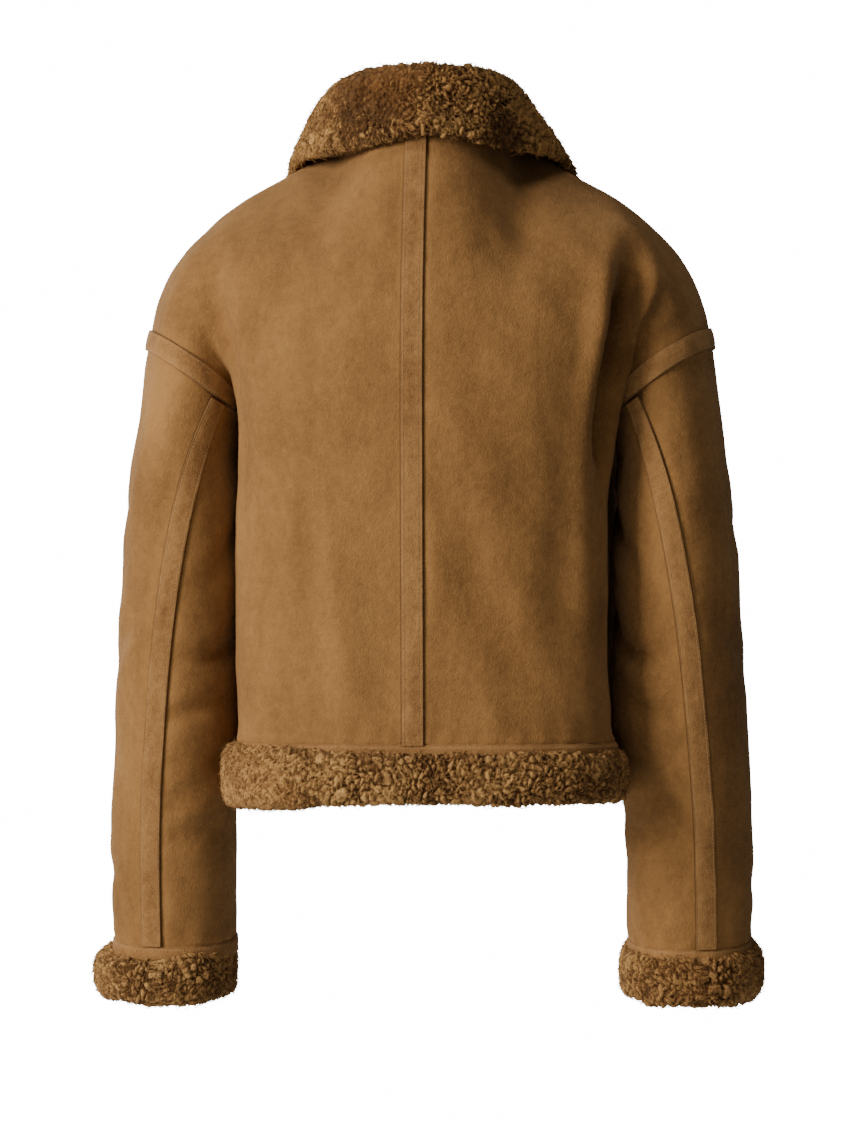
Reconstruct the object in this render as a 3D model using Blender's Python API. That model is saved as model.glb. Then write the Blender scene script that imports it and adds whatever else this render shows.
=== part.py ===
"""A cropped suede shearling jacket, held open as it is worn.

The wearer would face -Y, with +X at their left side and +Z up. The origin is the middle of the neck
opening at shoulder height. Every panel is a wall between an outer and an inner grid of points: the
panels meet at their seams, and the straps are made from the panels' own points, moved out.
"""

import math

import bmesh
import bpy
import numpy as np
from mathutils import Matrix, Vector

# ---- Driving sizes, in metres ----
WALL = 0.006  # suede with its clipped wool inside
SEAM_GAP = 0.0003
STRAP_LIFT = 0.0003
STRAP_THICKNESS = 0.0016
STRAP_REACH = 0.0095  # half the width of the sleeve strap and the armhole band
BACK_STRAP_EDGES = (0.0035, 0.0165)  # the centre back strap laps unevenly over its seam

HEM_Z = -0.561
ARMPIT_Z = -0.262
ARMHOLE_TOP = (0.259, -0.193)  # x and z of the shoulder tip
ARMHOLE_BOTTOM = (0.166, -0.257)
ARMHOLE_HALF_DEPTH = 0.091
ARMHOLE_BOW = 0.006  # how far the seam bows up at the back and the front

NECK_HALF_WIDTH = 0.074
NECK_BACK = (0.078, 0.022)  # y and z of the neckline at the centre back
NECK_SIDE_Z = -0.008
NECK_FRONT = (-0.080, -0.055)
FRONT_EDGE_X = 0.009  # half the width of the zip between the two fronts
FRONT_FIRST_COLUMN = 0.012  # the width of the first column of points beside the zip

BODY_SQUARENESS = 3.0
SLEEVE_SQUARENESS = 2.25
ARM_DENT_REACH = 0.055  # how far, front to back, the arm presses into the side

# ---- Section tables ----
BODY_RINGS = {  # rings of the body below the armpit: the arms press a dent into each side
    "z": (-0.561, -0.500, -0.430, -0.340, -0.275, -0.262),
    "half_width": (0.184, 0.184, 0.184, 0.183, 0.181, 0.180),
    "dent": (0.027, 0.026, 0.026, 0.026, 0.024, 0.015),
}
BACK_PROFILE = {  # the centre back line, hem to neck
    "z": (-0.561, -0.430, -0.330, -0.250, -0.180, -0.120, -0.060, -0.015, 0.022),
    "y": (0.140, 0.146, 0.153, 0.156, 0.152, 0.140, 0.120, 0.099, 0.078),
}
FRONT_PROFILE = {  # the centre front line, hem to neck
    "z": (-0.561, -0.430, -0.330, -0.250, -0.190, -0.140, -0.095, -0.055),
    "y": (-0.146, -0.150, -0.156, -0.158, -0.152, -0.138, -0.113, -0.080),
}
SHOULDER_LINE = {  # the top of the shoulder, neck to shoulder tip
    "x": (0.074, 0.105, 0.142, 0.175, 0.207, 0.233, 0.250, 0.259),
    "z": (-0.008, -0.026, -0.047, -0.066, -0.093, -0.124, -0.160, -0.193),
}
SLEEVE_RINGS = {  # rings of the sleeve below the armhole, cut level
    "z": (-0.300, -0.345, -0.432, -0.524, -0.616, -0.700, -0.745),
    "outer_x": (0.2715, 0.2770, 0.2845, 0.2900, 0.2945, 0.2960, 0.2950),
    "inner_x": (0.1725, 0.1700, 0.1690, 0.1740, 0.1800, 0.1810, 0.1820),
    "centre_y": (0.003, 0.006, 0.006, 0.001, -0.008, -0.020, -0.028),
    "half_depth": (0.089, 0.086, 0.081, 0.075, 0.068, 0.061, 0.059),
    "tilt": (0.00, 0.00, 0.00, 0.02, 0.06, 0.10, 0.12),  # the back of the ring hangs lower
}
SLEEVE_SEAMS = {  # turns of the sleeve's two seams, degrees from its outer side, by height
    "z": (-0.745, -0.600, -0.432, -0.344, -0.240),
    "back": (76.6, 78.8, 85.6, 96.0, 128.0),
    "front": (-118.0, -118.0, -118.0, -118.0, -118.0),
}
COLLAR_STATIONS = {  # the collar's bent sections, from the centre back to its front edge
    "neck_turn": (0.0, 45.0, 90.0, 132.0, 172.0),
    "edge_turn": (0.0, 45.0, 88.0, 121.0, 149.0),
    "fold_r": (0.0880, 0.0830, 0.0785, 0.0890, 0.1010),
    "fold_z": (0.0490, 0.0440, 0.0300, 0.0020, -0.0290),
    "mid_r": (0.1020, 0.0990, 0.1050, 0.1200, 0.1300),
    "mid_z": (0.0180, 0.0100, 0.0000, -0.0360, -0.0740),
    "edge_r": (0.1100, 0.1080, 0.1235, 0.1510, 0.1610),
    "edge_z": (-0.0165, -0.0240, -0.0280, -0.0740, -0.1280),
}
FOLDS = {  # soft folds of the back: a trough from top to bottom, across x
    "top_x": (0.196, 0.060, 0.095),
    "top_z": (-0.120, -0.300, -0.330),
    "bottom_x": (0.186, 0.035, 0.135),
    "bottom_z": (-0.262, -0.520, -0.540),
    "depth": (0.010, 0.0020, 0.0025),
    "reach": (0.016, 0.020, 0.018),
}

# ---- Counts of points ----
BODY_COLUMNS = 11
BODY_ROWS = 8
NECK_COLUMNS = 4
SLEEVE_ROWS = 15
OUTER_BACK_COLUMNS = 5  # sleeve columns from the strap's edge to the outermost line
OUTER_FRONT_COLUMNS = 5
INNER_FRONT_COLUMNS = 3
INNER_BACK_COLUMNS = 5
FINE = 121  # points on a curve before it is spaced out evenly

BAND_SKIPPED_ROWS = {"back": 4, "front": 2}  # rows next to the armpit that the band leaves out
STRAP_END_SHARE = 0.06
RIM_ORDER = 0.3  # how much height counts beside |x| in the order of a rim's points
FOLDED_BACK = 0.62  # below this, the mean of two unit normals says that the walls fold back
INSIDE_POINTS = {
    "back": (0.0, 0.0, -0.3),
    "front": (0.0, 0.0, -0.3),
    "sleeve_outer": (0.22, 0.0, -0.5),
    "sleeve_inner": (0.22, 0.0, -0.5),
}

# ---- Trim ----
HEM_WELT_HEIGHT = 0.0095
CUFF_WELT_HEIGHT = 0.014
WELT_THICKNESS = 0.003
WELT_STANDOFF = 0.0012  # how far a welt stands out past the panel above it
HEM_DROP = 0.060  # from the seam down to the bottom of the wool
HEM_WOOL_OUT = 0.0135  # how far the wool stands out past the suede
HEM_WOOL_IN = 0.014
CUFF_Z = -0.745
CUFF_DROP = 0.058
CUFF_WOOL_OUT = 0.0125
CUFF_WOOL_SWELL = 0.0045  # the wool stands out more at the outer side, and less beside the hip
CUFF_WOOL_IN = 0.014
WOOL_SECTION_POINTS = 10
WOOL_SQUARENESS = 2.6
COLLAR_WALL = 0.011
COLLAR_LIFT = 0.0008  # its seam edge lies level, just above the sloping neck seam
COLLAR_FOLD_RADIUS = 0.0095
COLLAR_STAND_BULGE = 0.002  # how far its standing part leans in towards the neck
COLLAR_SECTIONS = 17
COLLAR_SECTION_POINTS = 15

ZIP_TAPE_THICKNESS = 0.0012
ZIP_TAPE_DEPTH = 0.0030  # how far the tape lies behind the suede
ZIP_ROWS = 26
ZIP_BOTTOM_Z = -0.606
SLIDER_Z = -0.078
SLIDER_LENGTH = 0.0125
SLIDER_TOP = 0.0096
SLIDER_BOTTOM = 0.0072
SLIDER_THICKNESS = 0.0028
SLIDER_CORNER = 0.0012
BRIDGE_WIDTH = 0.0022
BRIDGE_LENGTH = 0.0092
BRIDGE_HEIGHT = 0.0046
BRIDGE_BAR = 0.0013
PULL_AXIS_HEIGHT = 0.0015  # the pull's hinge axis above the slider's plate
PULL_LENGTH = 0.034
PULL_WIDTH = 0.0080
PULL_END_WIDTH = 0.0064
PULL_THICKNESS = 0.0016
PULL_TOP_BAR = 0.0015
PULL_CORNER = 0.0014
PULL_EYE = (0.0040, 0.0058)  # the width and length of the hole that the bridge passes through
PULL_EYE_CORNER = 0.0006

COLOURS = {  # name: (colour, roughness, metallic)
    "suede": ((0.235, 0.125, 0.045), 0.9, 0.0),
    "suede_strap": ((0.26, 0.14, 0.055), 0.9, 0.0),
    "wool": ((0.22, 0.115, 0.042), 1.0, 0.0),
    "zip_tape": ((0.09, 0.05, 0.025), 0.85, 0.0),
    "zip_metal": ((0.30, 0.21, 0.11), 0.35, 1.0),
}


# ---- Curves ----
def smooth(at, knots, values):
    """Cubic Hermite curve through the knots, each slope that of its neighbours."""
    knots = np.asarray(knots, float)
    values = np.asarray(values, float)
    if knots[0] > knots[-1]:
        knots, values = knots[::-1], values[::-1]
    slopes = np.gradient(values, knots)
    at = np.clip(at, knots[0], knots[-1])
    k = np.clip(np.searchsorted(knots, at) - 1, 0, len(knots) - 2)
    width = knots[k + 1] - knots[k]
    t = (at - knots[k]) / width
    rise = t * t * (3 - 2 * t)
    slope_in = t * (1 - t) ** 2 * width * slopes[k]
    slope_out = t * t * (t - 1) * width * slopes[k + 1]
    return (1 - rise) * values[k] + rise * values[k + 1] + slope_in + slope_out


def power(value, squareness):
    """A sine or cosine bent from a circle's into a superellipse's."""
    return np.sign(value) * np.abs(value) ** (2 / squareness)


def lengths(points):
    """Distance along a line of points, from its first point."""
    steps = np.linalg.norm(np.diff(points, axis=0), axis=1)
    return np.concatenate([[0.0], np.cumsum(steps)])


def spaced(points, distances):
    """The points at the given distances along a line of points."""
    along = lengths(points)
    return np.stack([np.interp(distances, along, points[:, k]) for k in range(3)], axis=1)


def shares(points, count):
    """That many points, evenly spaced along a line of points."""
    return spaced(points, np.linspace(0, lengths(points)[-1], count))


def mirrored(grid):
    """The same grid on the wearer's other side, its columns still running away from the centre."""
    return grid * np.array([-1.0, 1.0, 1.0])


# ---- The garment's form ----
def half_section(z, profile, steps):
    """A quarter of a superellipse from the centre line to the side, with the arm's dent."""
    turn = np.linspace(0, math.pi / 2, steps)
    depth = smooth(z, profile["z"], profile["y"])
    half = smooth(z, BODY_RINGS["z"], BODY_RINGS["half_width"])
    dent = smooth(z, BODY_RINGS["z"], BODY_RINGS["dent"])
    x = half * power(np.sin(turn), BODY_SQUARENESS)
    y = depth * power(np.cos(turn), BODY_SQUARENESS)
    x = x - dent * np.exp(-((y / ARM_DENT_REACH) ** 2)) * (x / half) ** 4
    return np.stack([x, y, np.full(steps, z)], axis=1)


def armhole(turn):
    """The armhole seam by its turn in degrees: 0 at the shoulder tip, 90 at the back, 180 below."""
    turn = np.radians(np.asarray(turn, float))
    (top_x, top_z), (bottom_x, bottom_z) = ARMHOLE_TOP, ARMHOLE_BOTTOM
    along = np.cos(turn)
    x = (top_x + bottom_x) / 2 + (top_x - bottom_x) / 2 * along
    z = (top_z + bottom_z) / 2 + (top_z - bottom_z) / 2 * along
    z = z + ARMHOLE_BOW * np.sin(turn) ** 2
    y = ARMHOLE_HALF_DEPTH * np.sin(turn)
    return np.stack([x, y, z], axis=-1)


def neckline(turn):
    """The neck seam by its turn in degrees from the centre back."""
    turn = np.radians(np.asarray(turn, float))
    back, front = np.cos(turn).clip(0), (-np.cos(turn)).clip(0)
    x = NECK_HALF_WIDTH * np.sin(turn)
    y = NECK_BACK[0] * back + NECK_FRONT[0] * front
    z = NECK_SIDE_Z + (NECK_BACK[1] - NECK_SIDE_Z) * back + (NECK_FRONT[1] - NECK_SIDE_Z) * front
    return np.stack([x, y, z], axis=-1)


def shoulder_line(count):
    x = np.linspace(SHOULDER_LINE["x"][0], SHOULDER_LINE["x"][-1], count)
    z = smooth(x, SHOULDER_LINE["x"], SHOULDER_LINE["z"])
    return np.stack([x, np.zeros(count), z], axis=1)


def pressed(points):
    """Presses the back's soft folds in: each is a trough along a line, fading at its ends.

    The seams at the side and the armhole stay where they are.
    """
    x, z = np.abs(points[..., 0]), points[..., 2]
    push = np.zeros_like(x)
    for top_x, top_z, bottom_x, bottom_z, depth, reach in zip(*FOLDS.values()):
        down = (top_z - z) / (top_z - bottom_z)
        across = (x - top_x - (bottom_x - top_x) * down) / reach
        fade = np.clip(np.sin(np.pi * np.clip(down, 0.0, 1.0)), 0, 1)
        push = push + depth * fade * np.exp(-(across**2))
    across = np.linspace(0, 1, points.shape[1])
    out = points.copy()
    out[..., 1] -= push * (1 - across**6)
    return out


def body_panel(profile, neck_turns, arm_edge, first_stop):
    """One of the four body panels, as rows from the hem up and columns away from the centre line.

    Below the armpit the rows are level sections. Above it they are a patch between four seams:
    the armpit row, the centre line, the armhole and the top edge, which is neckline and shoulder.
    """
    lower_z = np.linspace(HEM_Z, ARMPIT_Z, BODY_ROWS)
    lower = [half_section(z, profile, FINE) for z in lower_z]
    lower[-1][-1] = armhole(180.0)
    bend = np.linspace(0, 1, FINE)[:, None] ** 6
    lower[-1] = lower[-1] + bend * (armhole(180.0) - lower[-1][-1])

    neck, shoulder = neckline(neck_turns), shoulder_line(FINE)
    top_edge = np.concatenate([neck, shoulder[1:]])
    top = shares(top_edge, FINE)
    bottom = shares(lower[-1], FINE)
    arm_share = lengths(arm_edge) / lengths(arm_edge)[-1]
    z = np.linspace(ARMPIT_Z, top[0][2], FINE)
    centre = np.stack([np.zeros(FINE), smooth(z, profile["z"], profile["y"]), z], axis=1)
    centre = spaced(centre, arm_share * lengths(centre)[-1])

    across = np.linspace(0, 1, FINE)[:, None]
    upper = []
    for share, arm_point, centre_point in zip(arm_share[1:], arm_edge[1:], centre[1:]):
        rise = power(math.sin(share * math.pi / 2), 2.2)
        fall = 1 - power(math.cos(share * math.pi / 2), 2.2)
        spread = (1 - math.cos(share * math.pi)) / 2
        row = bottom + (top - bottom) * np.array([spread, fall, rise])
        row = row + (1 - across**2) ** 3 * (centre_point - row[0])
        row = row + across**2.6 * (arm_point - row[-1])
        upper.append(row)

    grid = []
    for row in lower + upper[:-1]:
        total = lengths(row)[-1]
        stops = np.linspace(first_stop[-1], total - STRAP_REACH, BODY_COLUMNS)
        grid.append(spaced(row, np.concatenate([first_stop[:-1], stops, [total]])))
    # The top row has a column at the corner between the neckline and the shoulder.
    corner, total = lengths(neck)[-1], lengths(top_edge)[-1]
    over_neck = np.linspace(first_stop[-1], corner, NECK_COLUMNS)
    over_shoulder = np.linspace(corner, total - STRAP_REACH, BODY_COLUMNS - NECK_COLUMNS + 1)[1:]
    stops = np.concatenate([first_stop[:-1], over_neck, over_shoulder, [total]])
    grid.append(spaced(top_edge, stops))
    return relaxed(np.array(grid), 6)


def relaxed(grid, times):
    """Evens out the points along the columns, less and less towards the armhole and the side."""
    grid = grid.copy()
    across = np.linspace(0, 1, grid.shape[1])[:, None]
    for _ in range(times):
        middle = (grid[:-2] + 2 * grid[1:-1] + grid[2:]) / 4
        grid[1:-1] += (middle - grid[1:-1]) * (across > 0) * (1 - across) ** 2
    return grid


def sleeve_section(z, turns):
    """Points of a level section of the sleeve, by their turns in degrees from its outer side."""
    outer = smooth(z, SLEEVE_RINGS["z"], SLEEVE_RINGS["outer_x"])
    inner = smooth(z, SLEEVE_RINGS["z"], SLEEVE_RINGS["inner_x"])
    centre_y = smooth(z, SLEEVE_RINGS["z"], SLEEVE_RINGS["centre_y"])
    half_depth = smooth(z, SLEEVE_RINGS["z"], SLEEVE_RINGS["half_depth"])
    turn = np.radians(turns)
    x = (outer + inner) / 2 + (outer - inner) / 2 * power(np.cos(turn), SLEEVE_SQUARENESS)
    y = centre_y + half_depth * power(np.sin(turn), SLEEVE_SQUARENESS)
    lowered = smooth(z, SLEEVE_RINGS["z"], SLEEVE_RINGS["tilt"]) * (y - centre_y)
    return np.stack([x, y, z - lowered], axis=1)


def ring_columns(curve, back, front):
    """Points round one ring, from the back seam by way of the outer side and back to it.

    The strap's edges lie a fixed distance from the back seam, and the outermost and innermost
    lines and the front seam each fall on a column.
    """
    spans = (
        (back, 0.0, OUTER_BACK_COLUMNS, STRAP_REACH, 0.0),
        (0.0, front, OUTER_FRONT_COLUMNS, 0.0, 0.0),
        (front, -180.0, INNER_FRONT_COLUMNS, 0.0, 0.0),
        (-180.0, back - 360.0, INNER_BACK_COLUMNS, 0.0, STRAP_REACH),
    )
    points = [curve(np.array([back]))]
    for start, end, count, skip_start, skip_end in spans:
        line = curve(np.linspace(start, end, FINE))
        total = lengths(line)[-1]
        stops = list(np.linspace(skip_start, total - skip_end, count + 1)[0 if skip_start else 1 :])
        if skip_end:
            stops.append(total)
        points.append(spaced(line, stops))
    return np.concatenate(points)


def sleeve_grid():
    """Rows from the armhole seam down to the cuff seam, columns right round from the back seam."""
    back_top, front_top = (smooth(-0.240, SLEEVE_SEAMS["z"], SLEEVE_SEAMS[k]) for k in ("back", "front"))
    top = ring_columns(armhole, float(back_top), float(front_top))
    level = []
    for z in np.linspace(SLEEVE_RINGS["z"][0], CUFF_Z, SLEEVE_ROWS - 2):
        back, front = (float(smooth(z, SLEEVE_SEAMS["z"], SLEEVE_SEAMS[k])) for k in ("back", "front"))
        level.append(ring_columns(lambda turns, z=z: sleeve_section(z, turns), back, front))
    rows = np.array([top] + level)
    # The band's lower edge lies a fixed distance below the armhole seam.
    below = rows[1] - rows[0]
    reach = STRAP_REACH / np.linalg.norm(below, axis=1, keepdims=True)
    edge = rows[0] + below * reach
    return np.concatenate([rows[:1], edge[None], rows[1:]])


# ---- Walls ----
def grid_normals(grid):
    """Unit normals of a grid of points, from the steps to the points on either side."""
    normals = np.cross(np.gradient(grid, axis=1), np.gradient(grid, axis=0))
    return normals / np.linalg.norm(normals, axis=-1, keepdims=True)


def outward(grid, normals, centre):
    """The normals turned, if need be, to point away from the centre."""
    away = ((grid - centre) * normals).sum()
    return normals if away > 0 else -normals


def flatten_normals(grids, normals):
    """Squares each panel's edges to the planes of the centre back, front edge, side and shoulder."""
    level = np.array([1.0, 0.0, 1.0])
    upright = np.array([0.0, 1.0, 1.0])
    for name in ("back", "front"):
        panel = normals[name]
        panel[:, 0] *= upright
        panel[: BODY_ROWS - 1, -1] *= level
        panel[-1, np.abs(grids[name][-1, :, 1]) < SEAM_GAP] *= level
        panel /= np.linalg.norm(panel, axis=-1, keepdims=True)


def edge_places(grids):
    """Every point on a panel's edges, with its panel's name and its index in the grid."""
    found = []
    for name, grid in grids.items():
        rows, columns = grid.shape[:2]
        for r in range(rows):
            for c in range(columns):
                if r in (0, rows - 1) or c in (0, columns - 1):
                    found.append((name, (r, c)))
    return found


def share_normals(grids, own):
    """Gives points that lie at one place on several panels one common normal.

    Where two walls fold back on each other, as at the armpit, each keeps its own.
    """
    shared = {name: normals.copy() for name, normals in own.items()}
    places = edge_places(grids)
    points = np.array([grids[name][index] for name, index in places])
    for here in range(len(places)):
        near = np.linalg.norm(points - points[here], axis=1) < SEAM_GAP / 10
        users = [places[k] for k in np.nonzero(near)[0]]
        total = sum(own[name][index] for name, index in users)
        if len(users) < 2 or np.linalg.norm(total) < FOLDED_BACK * len(users):
            continue
        name, index = places[here]
        shared[name][index] = total / np.linalg.norm(total)
    return shared


def pulled_in(grid):
    """Draws the panel's edges back by half the seam gap."""
    grid = grid.copy()
    for edge, inner in ((0, 1), (-1, -2)):
        step = grid[inner] - grid[edge]
        grid[edge] += step * (SEAM_GAP / 2 / np.linalg.norm(step, axis=-1, keepdims=True))
    for edge, inner in ((0, 1), (-1, -2)):
        step = grid[:, inner] - grid[:, edge]
        grid[:, edge] += step * (SEAM_GAP / 2 / np.linalg.norm(step, axis=-1, keepdims=True))
    return grid


def grid_triangles(rows, columns, wrap=False, falling=()):
    """Triangles of a grid whose points are numbered row by row.

    Each cell is cut from its first corner to its opposite one, or the other way in the columns
    that are falling. A strap is cut the way its panel is, so that they lie flat on each other.
    """
    last = columns if wrap else columns - 1
    faces = []
    for r in range(rows - 1):
        for c in range(last):
            a, b = r * columns + c, r * columns + (c + 1) % columns
            if c in falling:
                faces += [(a, b, a + columns), (b, b + columns, a + columns)]
            else:
                faces += [(a, b, b + columns), (a, b + columns, a + columns)]
    return faces


def wall(name, outer, inner, slot, falling=(), wrap=False):
    """A closed wall between two grids of the same shape, its rim joining their edges."""
    rows, columns = outer.shape[:2]
    count = rows * columns
    faces = grid_triangles(rows, columns, wrap, falling)
    faces += [(i + count, k + count, j + count) for i, j, k in faces]
    rims = [[c for c in range(columns)], [(rows - 1) * columns + c for c in range(columns)]]
    if wrap:
        rims = [rim + rim[:1] for rim in rims]
    else:
        rims += [[r * columns for r in range(rows)], [r * columns + columns - 1 for r in range(rows)]]
    points = np.concatenate([outer.reshape(-1, 3), inner.reshape(-1, 3)])
    # Both panels of a seam cut their rims the same way: from the outer point that comes first.
    order = np.abs(points[:, 0]) + RIM_ORDER * points[:, 2]
    for rim in rims:
        for a, b in zip(rim, rim[1:]):
            if order[a] > order[b]:
                a, b = b, a
            faces += [(a, b, b + count), (a, b + count, a + count)]
    return closed_mesh(name, points, faces, slot)


def tube(name, rings, slot):
    """A closed tube through rings of points, with its two ends capped."""
    rows, columns = rings.shape[:2]
    faces = grid_triangles(rows, columns, wrap=True)
    faces.append(tuple(range(columns)))
    faces.append(tuple(range((rows - 1) * columns, rows * columns)))
    return closed_mesh(name, rings.reshape(-1, 3), faces, slot)


def ring_tube(name, rings, slot):
    """A closed tube through rings of points whose last ring joins the first."""
    rows, columns = rings.shape[:2]
    faces = grid_triangles(rows + 1, columns, wrap=True)
    faces = [tuple(i % (rows * columns) for i in face) for face in faces]
    return closed_mesh(name, rings.reshape(-1, 3), faces, slot)


def closed_mesh(name, points, faces, slot):
    """An object from points and faces, its faces turned outwards."""
    mesh = bpy.data.meshes.new(name)
    mesh.from_pydata([tuple(p) for p in points], [], faces)
    shape = bmesh.new()
    shape.from_mesh(mesh)
    bmesh.ops.recalc_face_normals(shape, faces=shape.faces)
    shape.to_mesh(mesh)
    shape.free()
    mesh.shade_smooth()
    mesh.set_sharp_from_angle(angle=math.radians(40))
    return placed(bpy.data.objects.new(name, mesh), slot)


def material(slot):
    """The slot's material, made the first time it is asked for."""
    found = bpy.data.materials.get(slot)
    if found:
        return found
    colour, roughness, metallic = COLOURS[slot]
    made = bpy.data.materials.new(slot)
    made.use_nodes = True
    shader = made.node_tree.nodes["Principled BSDF"]
    shader.inputs["Base Color"].default_value = (*colour, 1.0)
    shader.inputs["Roughness"].default_value = roughness
    shader.inputs["Metallic"].default_value = metallic
    made.diffuse_color = (*colour, 1.0)
    return made


def placed(obj, slot):
    """Puts an object in the jacket's collection, under its empty, with its material."""
    obj.data.materials.append(material(slot))
    bpy.data.collections["shearling_jacket"].objects.link(obj)
    obj.parent = bpy.data.objects["jacket_origin"]
    return obj


# ---- Panels ----
def panel_grids():
    """The left side's panels by name, each a grid of outer points."""
    sleeve = sleeve_grid()
    front_seam = OUTER_BACK_COLUMNS + OUTER_FRONT_COLUMNS + 1
    ring = sleeve[0]
    tip = OUTER_BACK_COLUMNS + 1
    armpit = front_seam + INNER_FRONT_COLUMNS
    back_edge = np.concatenate([ring[armpit:-1], ring[: tip + 1]])
    front_edge = ring[tip : armpit + 1][::-1]
    back = body_panel(BACK_PROFILE, np.linspace(0, 90, FINE), back_edge, (0.0, *BACK_STRAP_EDGES))
    front_stops = (FRONT_EDGE_X, FRONT_EDGE_X + FRONT_FIRST_COLUMN)
    front = body_panel(FRONT_PROFILE, np.linspace(180, 90, FINE), front_edge, front_stops)
    return {
        "back": pressed(back),
        "front": front,
        "sleeve_outer": sleeve[:, : front_seam + 1],
        "sleeve_inner": sleeve[:, front_seam:],
    }


def build_panels(grids, normals):
    """The eight panels, each a wall of suede and wool, and its mirror image."""
    for name, grid in grids.items():
        outer = pulled_in(grid)
        inner = outer - normals[name] * WALL
        falling = range(grid.shape[1]) if name == "front" else ()
        wall(f"{name}_left", outer, inner, "suede", falling)
        wall(f"{name}_right", mirrored(outer), mirrored(inner), "suede", falling)


def strap(name, points, normals, falling=()):
    """A strap on the panels: their own points, moved out."""
    under = points + normals * STRAP_LIFT
    top = points + normals * (STRAP_LIFT + STRAP_THICKNESS)
    return wall(name, top, under, "suede_strap", falling)


def build_straps(grids, normals):
    """The straps that cover the centre back, armhole and sleeve back seams."""
    back, out = grids["back"], normals["back"]
    across = np.stack([mirrored(back[:, 1]), back[:, 0], back[:, 1], back[:, 2]], axis=1)
    out = np.stack([mirrored(out[:, 1]), out[:, 0], out[:, 1], out[:, 2]], axis=1)
    strap("back_strap", across, out, falling=(0,))

    def over(table):
        """The sleeve's columns on either side of its back seam, from the inner side outwards."""
        inner, outer = table["sleeve_inner"], table["sleeve_outer"]
        return np.stack([inner[1:, -2], outer[1:, 0], outer[1:, 1]], axis=1)

    columns, out = over(grids), over(normals)
    # It starts just under the armhole band's edge and ends just above the cuff's welt.
    columns[0] += (columns[1] - columns[0]) * STRAP_END_SHARE
    columns[-1] += (columns[-2] - columns[-1]) * STRAP_END_SHARE
    strap("sleeve_strap_left", columns, out)
    strap("sleeve_strap_right", mirrored(columns), mirrored(out))


def build_armhole_bands(grids, own, shared):
    """The band over the armhole seam, half on the body and half on the sleeve.

    It leaves out the armpit, where the two fold back on each other.
    """
    first = {name: BODY_ROWS - 1 + skipped for name, skipped in BAND_SKIPPED_ROWS.items()}
    sleeve = np.concatenate([grids["sleeve_outer"], grids["sleeve_inner"][:, 1:-1]], axis=1)
    sleeve_out = np.concatenate([own["sleeve_outer"], own["sleeve_inner"][:, 1:-1]], axis=1)

    def over(table, column):
        """The back's column from the armpit up to the shoulder, and on down the front's."""
        back, front = (table[name][first[name] :, column] for name in ("back", "front"))
        return np.concatenate([back, front[:-1][::-1]])

    seam, seam_out = over(grids, -1), over(shared, -1)
    # The wider the seam bends, the further its point moves, so that the band keeps its thickness.
    bend = (seam_out * over(own, -1)).sum(axis=1, keepdims=True)
    match = [int(np.argmin(np.linalg.norm(sleeve[0] - point, axis=1))) for point in seam]
    points = np.stack([over(grids, -2), seam, sleeve[1][match]], axis=1)
    out = np.stack([over(own, -2), seam_out / bend, sleeve_out[1][match]], axis=1)
    strap("armhole_band_left", points, out)
    strap("armhole_band_right", mirrored(points), mirrored(out))


# ---- Hem and cuffs ----
def level_out(ring, closed):
    """Level unit vectors that point out of a ring of points."""
    if closed:
        step = np.roll(ring, -1, axis=0) - np.roll(ring, 1, axis=0)
    else:
        step = np.gradient(ring, axis=0)
    out = np.stack([step[:, 1], -step[:, 0], np.zeros(len(ring))], axis=1)
    out = out / np.linalg.norm(out, axis=1, keepdims=True)
    away = ((ring - ring.mean(axis=0)) * out).sum()
    return out if away > 0 else -out


def roll(ring, out, top, bottom, out_by, in_by):
    """Rings of a fat wool roll: an upright oval carried along a seam, its top and bottom below it."""
    turn = np.linspace(0, 2 * math.pi, WOOL_SECTION_POINTS, endpoint=False)
    out_by = np.broadcast_to(out_by, len(ring))[:, None]
    reach = (out_by - in_by) / 2 + (out_by + in_by) / 2 * power(np.cos(turn), WOOL_SQUARENESS)
    below = (top + bottom) / 2 - (bottom - top) / 2 * power(np.sin(turn), WOOL_SQUARENESS)
    rings = ring[:, None, :] + out[:, None, :] * reach[..., None]
    rings[..., 2] -= below
    return rings


def build_hem(grids):
    """A narrow suede welt and the wool roll below it, each cut at the side seams."""
    gap = SEAM_GAP / 2
    back_left = pulled_in(grids["back"])[0]
    front_left = pulled_in(grids["front"])[0]
    back = np.concatenate([mirrored(back_left[1:])[::-1], back_left[1:]])
    for name, ring in (
        ("back", back),
        ("front_left", front_left),
        ("front_right", mirrored(front_left)),
    ):
        out = level_out(ring, False)
        out[np.abs(ring[:, 1]) < SEAM_GAP] = np.array([1.0, 0.0, 0.0])
        out[np.abs(ring[:, 0]) < FRONT_EDGE_X + SEAM_GAP] = np.array([0.0, 1.0, 0.0])
        out *= np.sign((out * ring).sum(axis=1, keepdims=True))
        rows = np.array([ring, ring])
        rows[..., 2] = np.array([HEM_Z - gap, HEM_Z - HEM_WELT_HEIGHT])[:, None]
        skin = rows + out * WELT_STANDOFF
        wall(f"hem_welt_{name}", skin, skin - out * WELT_THICKNESS, "suede_strap")
        wool = roll(ring, out, HEM_WELT_HEIGHT + SEAM_GAP, HEM_DROP, HEM_WOOL_OUT, HEM_WOOL_IN)
        tube(f"hem_wool_{name}", wool, "wool")


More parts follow.
